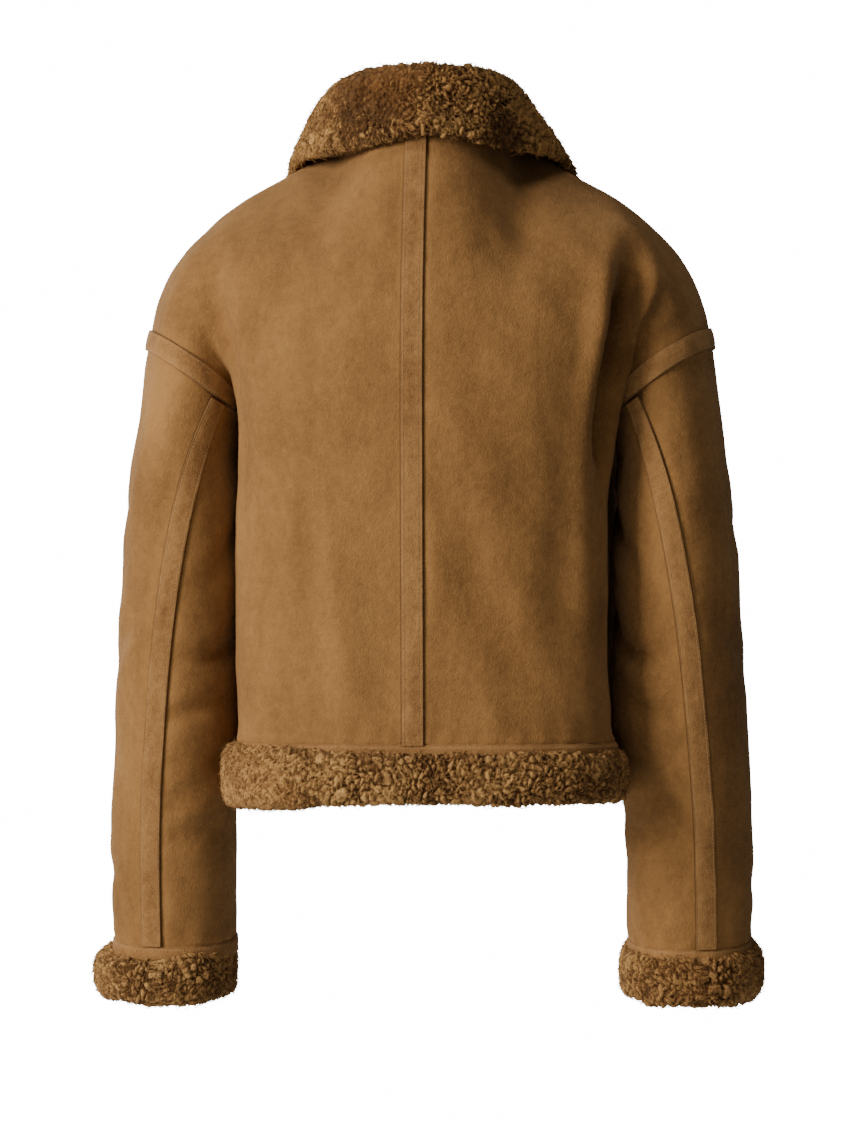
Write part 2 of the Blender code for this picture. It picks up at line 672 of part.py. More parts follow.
def build_cuffs(grids):
    """A narrow suede welt and a wool roll round each cuff."""
    outer, inner = grids["sleeve_outer"][-1], grids["sleeve_inner"][-1]
    ring = np.concatenate([outer, inner[1:-1]])
    out = level_out(ring, True)
    gap = SEAM_GAP / 2
    up = np.array([0.0, 0.0, 1.0])
    rows = np.array([ring - up * gap, ring - up * CUFF_WELT_HEIGHT])
    skin = rows + out * WELT_STANDOFF
    under = skin - out * WELT_THICKNESS
    out_by = CUFF_WOOL_OUT + CUFF_WOOL_SWELL * out[:, 0]
    wool = roll(ring, out, CUFF_WELT_HEIGHT + SEAM_GAP, CUFF_DROP, out_by, CUFF_WOOL_IN)
    for side, across in (("left", 1.0), ("right", -1.0)):
        flip = np.array([across, 1.0, 1.0])
        wall(f"cuff_welt_{side}", skin * flip, under * flip, "suede_strap", wrap=True)
        ring_tube(f"cuff_wool_{side}", wool * flip, "wool")


# ---- Collar ----
def collar_section(turn):
    """The middle line of the collar's wall at one place round the neck: up, over and down."""
    table = {k: float(smooth(turn, COLLAR_STATIONS["neck_turn"], v)) for k, v in COLLAR_STATIONS.items()}
    neck = neckline(turn)
    neck_out = np.array([math.sin(math.radians(turn)), math.cos(math.radians(turn)), 0.0])
    edge_turn = math.radians(table["edge_turn"])
    edge_out = np.array([math.sin(edge_turn), math.cos(edge_turn), 0.0])
    up = np.array([0.0, 0.0, 1.0])
    start = neck + up * COLLAR_LIFT
    fold = neck_out * table["fold_r"] + up * table["fold_z"]
    radius = COLLAR_FOLD_RADIUS
    inside = fold - neck_out * radius - up * radius
    outside = fold + edge_out * radius - up * radius
    middle = edge_out * table["mid_r"] + up * table["mid_z"]
    edge = edge_out * table["edge_r"] + up * table["edge_z"]
    stand = (start + inside) / 2 - neck_out * COLLAR_STAND_BULGE
    through = np.array([start, stand, inside, fold, outside, middle, edge])
    along = lengths(through)
    dense = np.linspace(0, along[-1], FINE)
    line = np.stack([smooth(dense, along, through[:, k]) for k in range(3)], axis=1)
    return shares(line, COLLAR_SECTION_POINTS)


def build_collar():
    """One wide collar of shearling, wool side out where it turns down."""
    turns = np.linspace(0, COLLAR_STATIONS["neck_turn"][-1], COLLAR_SECTIONS)
    left = np.array([collar_section(turn) for turn in turns])
    middle = np.concatenate([mirrored(left[1:])[::-1], left])
    normals = grid_normals(middle)
    fall = slice(-4, None)
    away = (normals[:, fall] * (middle[:, fall] - np.array([0.0, 0.0, -0.1]))).sum()
    if away < 0:
        normals = -normals
    half = COLLAR_WALL / 2
    wall("collar", middle + normals * half, middle - normals * half, "wool")


# ---- Zip ----
def front_line(z):
    """The centre front line at a height, and the unit vectors down it and out of it."""
    y = float(smooth(z, FRONT_PROFILE["z"], FRONT_PROFILE["y"]))
    step = 0.002
    y_below = float(smooth(z - step, FRONT_PROFILE["z"], FRONT_PROFILE["y"]))
    down = np.array([0.0, y_below - y, -step])
    down = down / np.linalg.norm(down)
    out = np.array([0.0, down[2], -down[1]])
    return np.array([0.0, y, z]), down, out


def build_zip_tapes():
    """Two narrow tapes between the front edges, from the neck to the hem."""
    top = NECK_FRONT[1]
    rows = []
    for z in np.linspace(ZIP_BOTTOM_Z, top, ZIP_ROWS):
        place, _, out = front_line(z)
        rows.append((place, out))
    for side, sign in (("left", 1.0), ("right", -1.0)):
        edges = (sign * SEAM_GAP / 2, sign * (FRONT_EDGE_X - SEAM_GAP))
        face = np.array([[p - n * ZIP_TAPE_DEPTH + np.array([x, 0, 0]) for x in edges] for p, n in rows])
        behind = np.array([[q - n * ZIP_TAPE_THICKNESS for q in row] for row, (_, n) in zip(face, rows)])
        wall(f"zip_tape_{side}", face, behind, "zip_tape")


def flat_piece(name, outlines, thickness, slot):
    """A flat piece from closed outlines in its own XY plane, extruded to its thickness."""
    curve = bpy.data.curves.new(name, "CURVE")
    curve.dimensions = "2D"
    curve.fill_mode = "BOTH"
    curve.extrude = thickness / 2
    for points in outlines:
        line = curve.splines.new("POLY")
        line.points.add(len(points) - 1)
        for point, (x, y) in zip(line.points, points):
            point.co = (x, y, 0.0, 1.0)
        line.use_cyclic_u = True
    return placed(bpy.data.objects.new(name, curve), slot)


def plate_outline(top_width, bottom_width, top, bottom, corner):
    """A plate with straight sides and cut corners, from its top y down to its bottom y."""
    side = [
        (top_width / 2 - corner, top),
        (top_width / 2, top - corner),
        (bottom_width / 2, bottom + corner),
        (bottom_width / 2 - corner, bottom),
    ]
    return side + [(-x, y) for x, y in side[::-1]]


def framed(obj, place, across, along, out):
    """Sets an object down with its X, Y and Z along three unit vectors."""
    turned = Matrix((across, along, out)).transposed().to_4x4()
    obj.matrix_world = Matrix.Translation(Vector(place)) @ turned
    return obj


def as_mesh(obj, slot):
    """The same piece as a mesh object with its caps welded, in place of the curve."""
    bpy.context.view_layer.update()
    graph = bpy.context.evaluated_depsgraph_get()
    mesh = bpy.data.meshes.new_from_object(obj.evaluated_get(graph))
    shape = bmesh.new()
    shape.from_mesh(mesh)
    bmesh.ops.remove_doubles(shape, verts=shape.verts, dist=1e-6)
    bmesh.ops.recalc_face_normals(shape, faces=shape.faces)
    shape.to_mesh(mesh)
    shape.free()
    mesh.materials.clear()
    name, place = obj.name, obj.matrix_world.copy()
    bpy.data.objects.remove(obj)
    made = placed(bpy.data.objects.new(name, mesh), slot)
    made.matrix_world = place
    return made


def build_slider():
    """The zip's slider near the neck, with its bridge, and the pull tab that hangs from the bridge."""
    line, down, out = front_line(SLIDER_Z)
    across, up = np.array([1.0, 0.0, 0.0]), -down
    seat = line + out * (SEAM_GAP - ZIP_TAPE_DEPTH)
    outline = plate_outline(
        SLIDER_TOP, SLIDER_BOTTOM, SLIDER_LENGTH / 2, -SLIDER_LENGTH / 2, SLIDER_CORNER
    )
    plate = flat_piece("zip_slider", [outline], SLIDER_THICKNESS, "zip_metal")
    framed(plate, seat + out * SLIDER_THICKNESS / 2, across, up, out)
    plate = as_mesh(plate, "zip_metal")

    # The bridge is an arch over the plate, with its feet sunk into it.
    half, foot = BRIDGE_LENGTH / 2, -SLIDER_THICKNESS / 2
    under = BRIDGE_HEIGHT - BRIDGE_BAR
    outer_side = [(half, foot), (half, under), (half - BRIDGE_BAR, BRIDGE_HEIGHT)]
    inner_side = [(half - BRIDGE_BAR, foot), (half - BRIDGE_BAR, under)]
    arch = outer_side + [(-x, y) for x, y in outer_side[::-1]]
    arch += [(-x, y) for x, y in inner_side] + inner_side[::-1]
    bridge = flat_piece("zip_slider_bridge", [arch], BRIDGE_WIDTH, "zip_metal")
    framed(bridge, seat + out * SLIDER_THICKNESS, up, out, across)
    bridge = as_mesh(bridge, "zip_metal")
    bridge.hide_render = True
    bridge.display_type = "WIRE"
    bpy.data.collections["shearling_jacket"].objects.unlink(bridge)
    bpy.data.collections["cutters"].objects.link(bridge)
    joined = plate.modifiers.new("bridge", "BOOLEAN")
    joined.operation = "UNION"
    joined.solver = "MANIFOLD"
    joined.object = bridge

    hinge = seat + out * (SLIDER_THICKNESS + PULL_AXIS_HEIGHT)
    tab_top, eye_top = PULL_TOP_BAR / 2, -PULL_TOP_BAR / 2
    tab = plate_outline(PULL_WIDTH, PULL_END_WIDTH, tab_top, tab_top - PULL_LENGTH, PULL_CORNER)
    eye = plate_outline(PULL_EYE[0], PULL_EYE[0], eye_top, eye_top - PULL_EYE[1], PULL_EYE_CORNER)
    pull = flat_piece("zip_pull", [tab, eye], PULL_THICKNESS, "zip_metal")
    framed(pull, hinge, across, up, out)


# ---- Scene ----
def clear_scene():
    for obj in list(bpy.data.objects):
        bpy.data.objects.remove(obj)
    collection = bpy.data.collections.new("shearling_jacket")
    bpy.context.scene.collection.children.link(collection)
    cutters = bpy.data.collections.new("cutters")
    cutters.hide_render = True
    bpy.context.scene.collection.children.link(cutters)
    origin = bpy.data.objects.new("jacket_origin", None)
    collection.objects.link(origin)


def main():
    clear_scene()
    grids = panel_grids()
    own = {}
    for name, grid in grids.items():
        own[name] = outward(grid, grid_normals(grid), np.array(INSIDE_POINTS[name]))
    flatten_normals(grids, own)
    normals = share_normals(grids, own)
    build_panels(grids, normals)
    build_straps(grids, normals)
    build_armhole_bands(grids, own, normals)
    build_hem(grids)
    build_cuffs(grids)
    build_collar()
    build_zip_tapes()
    build_slider()


main()
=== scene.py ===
"""A cropped suede shearling jacket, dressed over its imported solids.

The wearer would face -Y, with +X at their left side and +Z up. The suede panels, straps and wool are
surfaces on the solids' own form, cut finer, with their folds, sewing and curls of wool added.
"""

import math

import bpy
import numpy as np
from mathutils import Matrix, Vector


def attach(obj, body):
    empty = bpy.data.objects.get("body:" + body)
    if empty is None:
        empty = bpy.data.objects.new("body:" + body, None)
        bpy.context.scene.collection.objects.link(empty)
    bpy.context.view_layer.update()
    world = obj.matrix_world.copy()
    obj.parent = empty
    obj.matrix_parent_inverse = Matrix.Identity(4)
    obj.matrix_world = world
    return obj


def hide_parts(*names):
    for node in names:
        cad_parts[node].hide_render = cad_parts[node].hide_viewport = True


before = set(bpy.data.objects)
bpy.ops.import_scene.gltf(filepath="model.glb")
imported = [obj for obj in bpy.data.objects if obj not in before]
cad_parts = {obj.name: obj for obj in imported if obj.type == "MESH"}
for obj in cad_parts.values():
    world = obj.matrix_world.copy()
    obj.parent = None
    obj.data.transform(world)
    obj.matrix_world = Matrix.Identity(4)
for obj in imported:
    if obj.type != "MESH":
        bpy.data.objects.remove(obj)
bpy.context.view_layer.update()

# ---- Sleeve halves ----
# Each sleeve is cut in two halves of shearling, suede side out, sewn together at a back and a front seam
# and set into a dropped armhole. The sleeve hangs bent a little forwards, with soft folds at the elbow.
WALL = 0.006
SHALLOW = 0.0025  # the inner face follows a fold that is deeper than this
CALM_EDGE = 0.012
PUCKER = 0.0007
PUCKER_PITCH = 0.021
STRAP_REACH = 0.0095
ARMHOLE_TOP = (0.259, -0.193)
ARMHOLE_BOTTOM = (0.166, -0.257)
ARMHOLE_HALF_DEPTH = 0.091
ARMHOLE_BOW = 0.006
CUFF_Z = -0.745
SLEEVE_SQUARENESS = 2.25
SLEEVE_RINGS = {
    "z": (-0.300, -0.345, -0.432, -0.524, -0.616, -0.700, -0.745),
    "outer_x": (0.2715, 0.2770, 0.2845, 0.2900, 0.2945, 0.2960, 0.2950),
    "inner_x": (0.1725, 0.1700, 0.1690, 0.1740, 0.1800, 0.1810, 0.1820),
    "centre_y": (0.003, 0.006, 0.006, 0.001, -0.008, -0.020, -0.028),
    "half_depth": (0.089, 0.086, 0.081, 0.075, 0.068, 0.061, 0.059),
    "tilt": (0.00, 0.00, 0.00, 0.02, 0.06, 0.10, 0.12),
}
SLEEVE_SEAMS = {
    "z": (-0.745, -0.600, -0.432, -0.344, -0.240),
    "back": (76.6, 78.8, 85.6, 96.0, 128.0),
    "front": (-118.0, -118.0, -118.0, -118.0, -118.0),
}
SLEEVE_ROWS = 15
SLEEVE_COLUMNS = (5, 5, 3, 5)  # back seam to outer side, to front seam, to inner side, to back seam
EDGE_STOPS = (0.03, 0.08)  # shares of a cell
FINE = 121
SHARP_ANGLE = 50.0
SLEEVE_FOLDS = {  # s runs round the sleeve from its back seam by the outer side, and s1, z1 is a bend in the line
    "s0": (0.330, 0.345, 0.300, 0.020, 0.300, 0.330, 0.130, 0.080, 0.290, 0.180, 0.355, 0.030),
    "z0": (-0.470, -0.520, -0.560, -0.430, -0.330, -0.640, -0.480, -0.330, -0.420, -0.300, -0.590, -0.660),
    "s1": (0.370, 0.400, 0.350, 0.050, 0.350, 0.370, 0.180, 0.100, 0.330, 0.190, 0.390, 0.060),
    "z1": (-0.488, -0.530, -0.590, -0.470, -0.360, -0.650, -0.500, -0.360, -0.450, -0.360, -0.610, -0.690),
    "s2": (0.430, 0.440, 0.410, 0.100, 0.410, 0.420, 0.230, 0.150, 0.380, 0.210, 0.440, 0.110),
    "z2": (-0.480, -0.545, -0.570, -0.500, -0.430, -0.640, -0.490, -0.390, -0.480, -0.420, -0.640, -0.700),
    "depth": (0.0045, 0.0038, 0.0042, 0.0026, 0.0042, 0.0030, 0.0034, 0.0024, 0.0032, 0.0024, 0.0030, 0.0020),
    "reach": (0.010, 0.009, 0.012, 0.014, 0.014, 0.010, 0.013, 0.016, 0.012, 0.018, 0.011, 0.013),
}


def smooth(at, knots, values):
    """Cubic Hermite curve through the knots, the slope at each being that between its neighbours."""
    knots, values = np.asarray(knots, float), np.asarray(values, float)
    if knots[0] > knots[-1]:
        knots, values = knots[::-1], values[::-1]
    slopes = np.gradient(values, knots)
    at = np.clip(at, knots[0], knots[-1])
    k = np.clip(np.searchsorted(knots, at) - 1, 0, len(knots) - 2)
    width = knots[k + 1] - knots[k]
    t = (at - knots[k]) / width
    rise = t * t * (3 - 2 * t)
    bend = t * (1 - t) ** 2 * width * slopes[k] + t * t * (t - 1) * width * slopes[k + 1]
    return (1 - rise) * values[k] + rise * values[k + 1] + bend


def power(value, squareness):
    """A sine or cosine bent from a circle's into a superellipse's."""
    return np.sign(value) * np.abs(value) ** (2 / squareness)


def lengths(points):
    """Distance along a line of points, from its first point."""
    return np.concatenate([[0.0], np.cumsum(np.linalg.norm(np.diff(points, axis=0), axis=1))])


def unit(vectors):
    """The vectors at length 1."""
    return vectors / np.linalg.norm(vectors, axis=-1, keepdims=True).clip(1e-12)


def spaced(points, distances):
    """The points at the given distances along a line of points."""
    along = lengths(points)
    return np.stack([np.interp(distances, along, points[:, k]) for k in range(3)], axis=1)


def mirrored(points):
    """The points on the other side of the wearer's middle."""
    return points * np.array([-1.0, 1.0, 1.0])


both = (("_left", np.ones(3)), ("_right", mirrored(np.ones(3))))


def armhole(turn):
    """The armhole seam, a tilted oval bowed up at back and front, by its turn from the shoulder tip."""
    turn = np.radians(np.asarray(turn, float))
    (top_x, top_z), (bottom_x, bottom_z) = ARMHOLE_TOP, ARMHOLE_BOTTOM
    x = (top_x + bottom_x) / 2 + (top_x - bottom_x) / 2 * np.cos(turn)
    z = (top_z + bottom_z) / 2 + (top_z - bottom_z) / 2 * np.cos(turn) + ARMHOLE_BOW * np.sin(turn) ** 2
    return np.stack([x, ARMHOLE_HALF_DEPTH * np.sin(turn), z], axis=-1)


def sleeve_section(z, turns):
    """A superellipse section of the sleeve, its back dropped by the tilt, by turns from the outer side."""
    ring = {k: smooth(z, SLEEVE_RINGS["z"], v) for k, v in SLEEVE_RINGS.items()}
    turn = np.radians(turns)
    middle, half = (ring["outer_x"] + ring["inner_x"]) / 2, (ring["outer_x"] - ring["inner_x"]) / 2
    x = middle + half * power(np.cos(turn), SLEEVE_SQUARENESS)
    y = ring["centre_y"] + ring["half_depth"] * power(np.sin(turn), SLEEVE_SQUARENESS)
    return np.stack([x, y, z - ring["tilt"] * (y - ring["centre_y"])], axis=1)


def ring_columns(curve, back, front):
    """Points round a ring from its back seam, with the strap's edges a fixed distance from the seam."""
    outer_back, outer_front, inner_front, inner_back = SLEEVE_COLUMNS
    spans = (
        (back, 0.0, outer_back, STRAP_REACH, 0.0),
        (0.0, front, outer_front, 0.0, 0.0),
        (front, -180.0, inner_front, 0.0, 0.0),
        (-180.0, back - 360.0, inner_back, 0.0, STRAP_REACH),
    )
    points = [curve(np.array([back]))]
    for start, end, count, skip_start, skip_end in spans:
        line = curve(np.linspace(start, end, FINE))
        total = lengths(line)[-1]
        stops = list(np.linspace(skip_start, total - skip_end, count + 1)[0 if skip_start else 1 :])
        points.append(spaced(line, stops + [total] if skip_end else stops))
    return np.concatenate(points)


def sleeve_grid():
    """Rows of the sleeve from the armhole down to the cuff seam, each right round from the back seam."""
    seams = SLEEVE_SEAMS["z"]
    turns = [float(smooth(-0.240, seams, SLEEVE_SEAMS[k])) for k in ("back", "front")]
    rows = [ring_columns(armhole, *turns)]
    for z in np.linspace(SLEEVE_RINGS["z"][0], CUFF_Z, SLEEVE_ROWS - 2):
        turns = [float(smooth(z, seams, SLEEVE_SEAMS[k])) for k in ("back", "front")]
        rows.append(ring_columns(lambda angles, z=z: sleeve_section(z, angles), *turns))
    rows = np.array(rows)
    below = rows[1] - rows[0]
    edge = rows[0] + below * STRAP_REACH / np.linalg.norm(below, axis=1, keepdims=True)
    return np.concatenate([rows[:1], edge[None], rows[1:]])


def stops(cells, per_cell):
    """Places along a row of cells, evenly spaced, with a few more beside each end for the rolled edge."""
    even = np.linspace(0, cells, cells * per_cell + 1)
    return np.sort(np.concatenate([even, EDGE_STOPS, [cells - share for share in EDGE_STOPS]]))


def refined(grid, at):
    """Rows between a coarse grid's rows: a cubic Hermite curve down each column, knots at its distances."""
    step = np.linalg.norm(np.diff(grid, axis=0), axis=-1, keepdims=True).clip(1e-9)
    chord = np.diff(grid, axis=0) / step
    slopes = np.empty_like(grid)
    slopes[1:-1] = (chord[:-1] * step[1:] + chord[1:] * step[:-1]) / (step[:-1] + step[1:])
    slopes[0], slopes[-1] = 2 * chord[0] - slopes[1], 2 * chord[-1] - slopes[-2]
    k = np.minimum(at.astype(int), len(grid) - 2)
    t = (at - k)[:, None, None]
    rise = t * t * (3 - 2 * t)
    bend = t * (1 - t) ** 2 * step[k] * slopes[k] + t * t * (t - 1) * step[k] * slopes[k + 1]
    return (1 - rise) * grid[k] + rise * grid[k + 1] + bend


def across(grid):
    """The grid with its rows and columns exchanged."""
    return np.swapaxes(grid, 0, 1)


def normals_of(grid):
    """Unit normals of a grid, from the cross product of its steps along columns and rows."""
    return unit(np.cross(np.gradient(grid, axis=1), np.gradient(grid, axis=0)))


def faced_out(grid, middle):
    """Unit normals of a grid, turned away from a middle point."""
    normals = normals_of(grid)
    return normals if ((grid - middle) * normals).sum() > 0 else -normals


def fold_depth(s, z, folds):
    """Height of soft folds at places (s, z): each is a trough with a low ridge on either side, along a
    bent line of three points, and it fades at both of its ends."""
    height = np.zeros_like(s)
    t = np.linspace(0, 1, 81)
    for s0, z0, s1, z1, s2, z2, depth, reach in zip(*folds.values()):
        line_s = (1 - t) ** 2 * s0 + 2 * t * (1 - t) * s1 + t * t * s2
        line_z = (1 - t) ** 2 * z0 + 2 * t * (1 - t) * z1 + t * t * z2
        away = np.hypot(s[..., None] - line_s, z[..., None] - line_z)
        near = away.argmin(axis=-1)
        q = away.min(axis=-1) / reach
        fade = np.sin(np.pi * (0.06 + 0.88 * t[near]))
        height += depth * fade * (0.32 * np.exp(-((q - 1.7) ** 2) * 1.4) - np.exp(-(q**2)))
    return height


def swell(points, wavelength, seed):
    """Smooth noise between about -1 and 1: a sum of 20 sine waves in random directions."""
    random = np.random.default_rng(seed)
    ways = random.normal(size=(20, 3))
    pace = (2 * np.pi / wavelength) * random.uniform(0.6, 1.4, (20, 1))
    ways *= pace / np.linalg.norm(ways, axis=1)[:, None]
    shift = random.uniform(0, 2 * np.pi, 20)
    return np.sin(points @ ways.T + shift).sum(axis=-1) / math.sqrt(10) / 1.6


def quads(rows, columns, wrap=False):
    """Faces of a grid whose points are numbered row by row."""
    r, c = np.meshgrid(np.arange(rows - 1), np.arange(columns if wrap else columns - 1), indexing="ij")
    a, b = r * columns + c, r * columns + (c + 1) % columns
    return np.stack([a, b, b + columns, a + columns], axis=-1).reshape(-1, 4)


def plain_piece(name, points, faces):
    """A smooth object from points and lists of faces, in the scene."""
    mesh = bpy.data.meshes.new(name)
    mesh.from_pydata(points.reshape(-1, 3).tolist(), [], faces)
    mesh.shade_smooth()
    piece = bpy.data.objects.new(name, mesh)
    bpy.context.scene.collection.objects.link(piece)
    return piece


def faces_inwards(points, faces):
    """Whether the volume inside four-sided faces, summed over their tetrahedra to the middle, is below 0."""
    corner = points[faces] - points.mean(axis=0)
    return sum((corner[:, 0] * np.cross(corner[:, k], corner[:, k + 1])).sum() for k in (1, 2)) < 0


def mark(piece, name, values):
    """Stores one number for each point, for the material to read."""
    layer = piece.data.attributes.new(name, "FLOAT", "POINT")
    layer.data.foreach_set("value", np.asarray(values, np.float32).reshape(-1))


def two_faced(name, outer, inner, edge, faces, inside=None):
    """An object from the points of an outer and an inner grid, turned so that its volume is positive. Its
    second material is on the faces of index inside and after, and both grids carry the edge's distance."""
    points = np.concatenate([outer.reshape(-1, 3), inner.reshape(-1, 3)])
    if faces_inwards(points, faces):
        faces = faces[:, ::-1]
    piece = plain_piece(name, points, faces.tolist())
    mark(piece, "edge", np.concatenate([edge.reshape(-1), edge.reshape(-1)]))
    mesh = piece.data
    mesh.set_sharp_from_angle(angle=math.radians(SHARP_ANGLE))
    if inside is not None:
        index = np.zeros(len(faces), np.int32)
        index[inside:] = 1
        mesh.materials.append(None)
        mesh.materials.append(None)
        mesh.polygons.foreach_set("material_index", index)
    return piece


def wall(name, outer, inner, edge):
    """A closed wall between an outer and an inner grid, its rim joining their edges."""
    rows, columns = outer.shape[:2]
    count = rows * columns
    face = quads(rows, columns)
    index = np.arange(count).reshape(rows, columns)
    loop = np.concatenate([index[0], index[1:, -1], index[-1, -2::-1], index[-2:0:-1, 0]])
    ahead = np.roll(loop, -1)
    rim = np.stack([loop, loop + count, ahead + count, ahead], axis=1)
    faces = np.concatenate([face, rim, face[:, ::-1] + count])
    return two_faced(name, outer, inner, edge, faces, len(face))


def distance_down(grid):
    """Distance of every point of a grid down its column, from the first row."""
    step = np.linalg.norm(np.diff(grid, axis=0), axis=-1)
    return np.concatenate([np.zeros_like(step[:1]), step]).cumsum(axis=0)


def edge_distance(grid, covered=(0.0, 0.0, 0.0, 0.0)):
    """Distance of every point from the nearest edge of its grid, less the strip that a strap covers there,
    and its distances from the first and last row and the first and last column."""
    down, along = distance_down(grid), across(distance_down(across(grid)))
    places = (down, down[-1:] - down, along, along[:, -1:] - along)
    away = np.minimum.reduce([place - strip for place, strip in zip(places, covered)])
    return away, places


def eased(value):
    """Rises smoothly from 0 to 1."""
    value = np.clip(value, 0, 1)
    return value * value * (3 - 2 * value)


def suede_panel(name, node, grid, inside, folds, covered, gathered, seed):
    """The panel and its mirror image, each a wall of shearling with folds and covered strips of its own:
    the outer grid has the folds pressed in, its edges rolled down into the seams and a little gathered
    at the welt, and the inner grid lies one wall's thickness behind."""
    normals = faced_out(grid, inside)
    for k, (side, flip) in enumerate(both):
        away, places = edge_distance(grid, covered[k])
        bare = np.minimum.reduce(places)
        calm = eased((away - 0.0005) / CALM_EDGE)
        above, along = places[gathered], places[2]
        place = grid * flip
        relief = fold_depth(along, grid[..., 2], folds[k])
        relief = relief + 0.0011 * swell(place, 0.13, seed) + 0.0005 * swell(place, 0.04, seed + 1)
        waves = np.sin(2 * np.pi * along / PUCKER_PITCH + 2.2 * swell(place, 0.09, seed + 3))
        pucker = PUCKER * waves * np.exp(-((above / 0.016) ** 2))
        pucker *= eased(bare / 0.004) * eased(away / 0.006 + 1)
        rolled = -0.0011 * np.exp(-((bare / 0.0017) ** 2)) - 0.0004 * np.exp(-((away / 0.002) ** 2))
        outer = grid + normals * (relief * calm + pucker + rolled)[..., None]
        behind = WALL + 0.0006 * swell(grid, 0.016, seed + 2) + (-relief * calm - SHALLOW).clip(0)
        inner = grid - normals * behind[..., None]
        # Its edge distance, less the strip a strap covers, gives the suede painted shade along the seams and
        # beside the straps.
        piece = wall(name + side, outer * flip, inner * flip, away.clip(0))
        piece.data.materials[0] = suede
        piece.data.materials[1] = wool_inside
        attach(piece, "jacket")
        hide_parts(node + side)


def shader(name, colour, roughness, sheen, sheen_tint):
    """A new material, its tree and its shader, on which the constant values are set."""
    made = bpy.data.materials.new(name)
    made.use_nodes = True
    tree = made.node_tree
    principled = tree.nodes["Principled BSDF"]
    principled.inputs["Base Color"].default_value = (*colour, 1.0)
    principled.inputs["Roughness"].default_value = roughness
    principled.inputs["Sheen Weight"].default_value = sheen
    principled.inputs["Sheen Roughness"].default_value = 0.45
    principled.inputs["Sheen Tint"].default_value = (*sheen_tint, 1.0)
    principled.inputs["Specular IOR Level"].default_value = 0.18
    return made, tree, principled


def noise(tree, coordinates, scale, detail, roughness=0.55, stretch=None):
    """A noise texture's value at these coordinates, stretched by a Mapping node where asked."""
    if stretch:
        mapping = tree.nodes.new("ShaderNodeMapping")
        mapping.inputs["Scale"].default_value = stretch
        tree.links.new(coordinates, mapping.inputs["Vector"])
        coordinates = mapping.outputs["Vector"]
    texture = tree.nodes.new("ShaderNodeTexNoise")
    texture.inputs["Scale"].default_value = scale
    texture.inputs["Detail"].default_value = detail
    texture.inputs["Roughness"].default_value = roughness
    tree.links.new(coordinates, texture.inputs["Vector"])
    return texture.outputs["Fac"]


def ranged(tree, value, low, high, to_low, to_high):
    """The value carried from one range to another and held inside it."""
    node = tree.nodes.new("ShaderNodeMapRange")
    for socket, number in zip(("From Min", "From Max", "To Min", "To Max"), (low, high, to_low, to_high)):
        node.inputs[socket].default_value = number
    tree.links.new(value, node.inputs["Value"])
    return node.outputs["Result"]


def maths(tree, operation, first, second):
    """One Math node; either side may be a number."""
    node = tree.nodes.new("ShaderNodeMath")
    node.operation = operation
    for socket, value in zip(node.inputs, (first, second)):
        if isinstance(value, (int, float)):
            socket.default_value = value
        else:
            tree.links.new(value, socket)
    return node.outputs["Value"]


def weighed(tree, parts):
    """The sum of values, each times its weight."""
    (value, weight), *others = parts
    total = maths(tree, "MULTIPLY", value, weight)
    for value, weight in others:
        total = maths(tree, "ADD", total, maths(tree, "MULTIPLY", value, weight))
    return total


def blended(tree, share, first, second):
    """Two colours mixed by a share."""
    node = tree.nodes.new("ShaderNodeMix")
    node.data_type = "RGBA"
    plugs = [socket for socket in node.inputs if socket.enabled]
    for socket, value in zip(plugs, (share, first, second)):
        if isinstance(value, (int, float)):
            socket.default_value = value
        elif isinstance(value, tuple):
            socket.default_value = (*value, 1.0)
        else:
            tree.links.new(value, socket)
    return [socket for socket in node.outputs if socket.enabled][0]


def bumped(made, height, strength, distance):
    """Joins a height to the shader's normal by a Bump node."""
    bump = made.node_tree.nodes.new("ShaderNodeBump")
    bump.inputs["Strength"].default_value = strength
    bump.inputs["Distance"].default_value = distance
    made.node_tree.links.new(height, bump.inputs["Height"])
    made.node_tree.links.new(bump.outputs["Normal"], made.node_tree.nodes["Principled BSDF"].inputs["Normal"])


def placed_patches(tree, place, share, patches):
    """The share with soft round patches added, each with its centre, reach and amount."""
    for centre, reach, amount in patches:
        away = tree.nodes.new("ShaderNodeVectorMath")
        away.operation = "DISTANCE"
        away.inputs[1].default_value = centre
        tree.links.new(place, away.inputs[0])
        patch = tree.nodes.new("ShaderNodeMapRange")
        patch.interpolation_type = "SMOOTHSTEP"
        for socket, number in zip(("From Min", "From Max", "To Min", "To Max"), (0.0, reach, amount, 0.0)):
            patch.inputs[socket].default_value = number
        tree.links.new(away.outputs["Value"], patch.inputs["Value"])
        share = maths(tree, "ADD", share, patch.outputs["Result"])
    return share


# The darker patches by the right armhole, at the body's right edge and on the right sleeve's outer side are
# painted shade, and the paler one high on the left sleeve is painted light; the others make the suede paler
# or darker there.
NAP_AND_PAINTED_LIGHT_PATCHES = (  # soft patches, paler or darker, with painted shade and painted light among them: their centre, reach and amount
    ((0.064, 0.145, -0.475), 0.120, 0.30), ((0.235, 0.070, -0.250), 0.085, 0.50),
    ((-0.285, 0.020, -0.500), 0.140, -0.42), ((0.150, 0.140, -0.300), 0.070, -0.12),
    ((-0.060, 0.140, -0.160), 0.090, 0.16), ((-0.175, 0.100, -0.450), 0.060, -0.30),
    ((-0.176, 0.085, -0.165), 0.038, -0.55), ((-0.170, 0.095, -0.215), 0.038, -0.60),
)


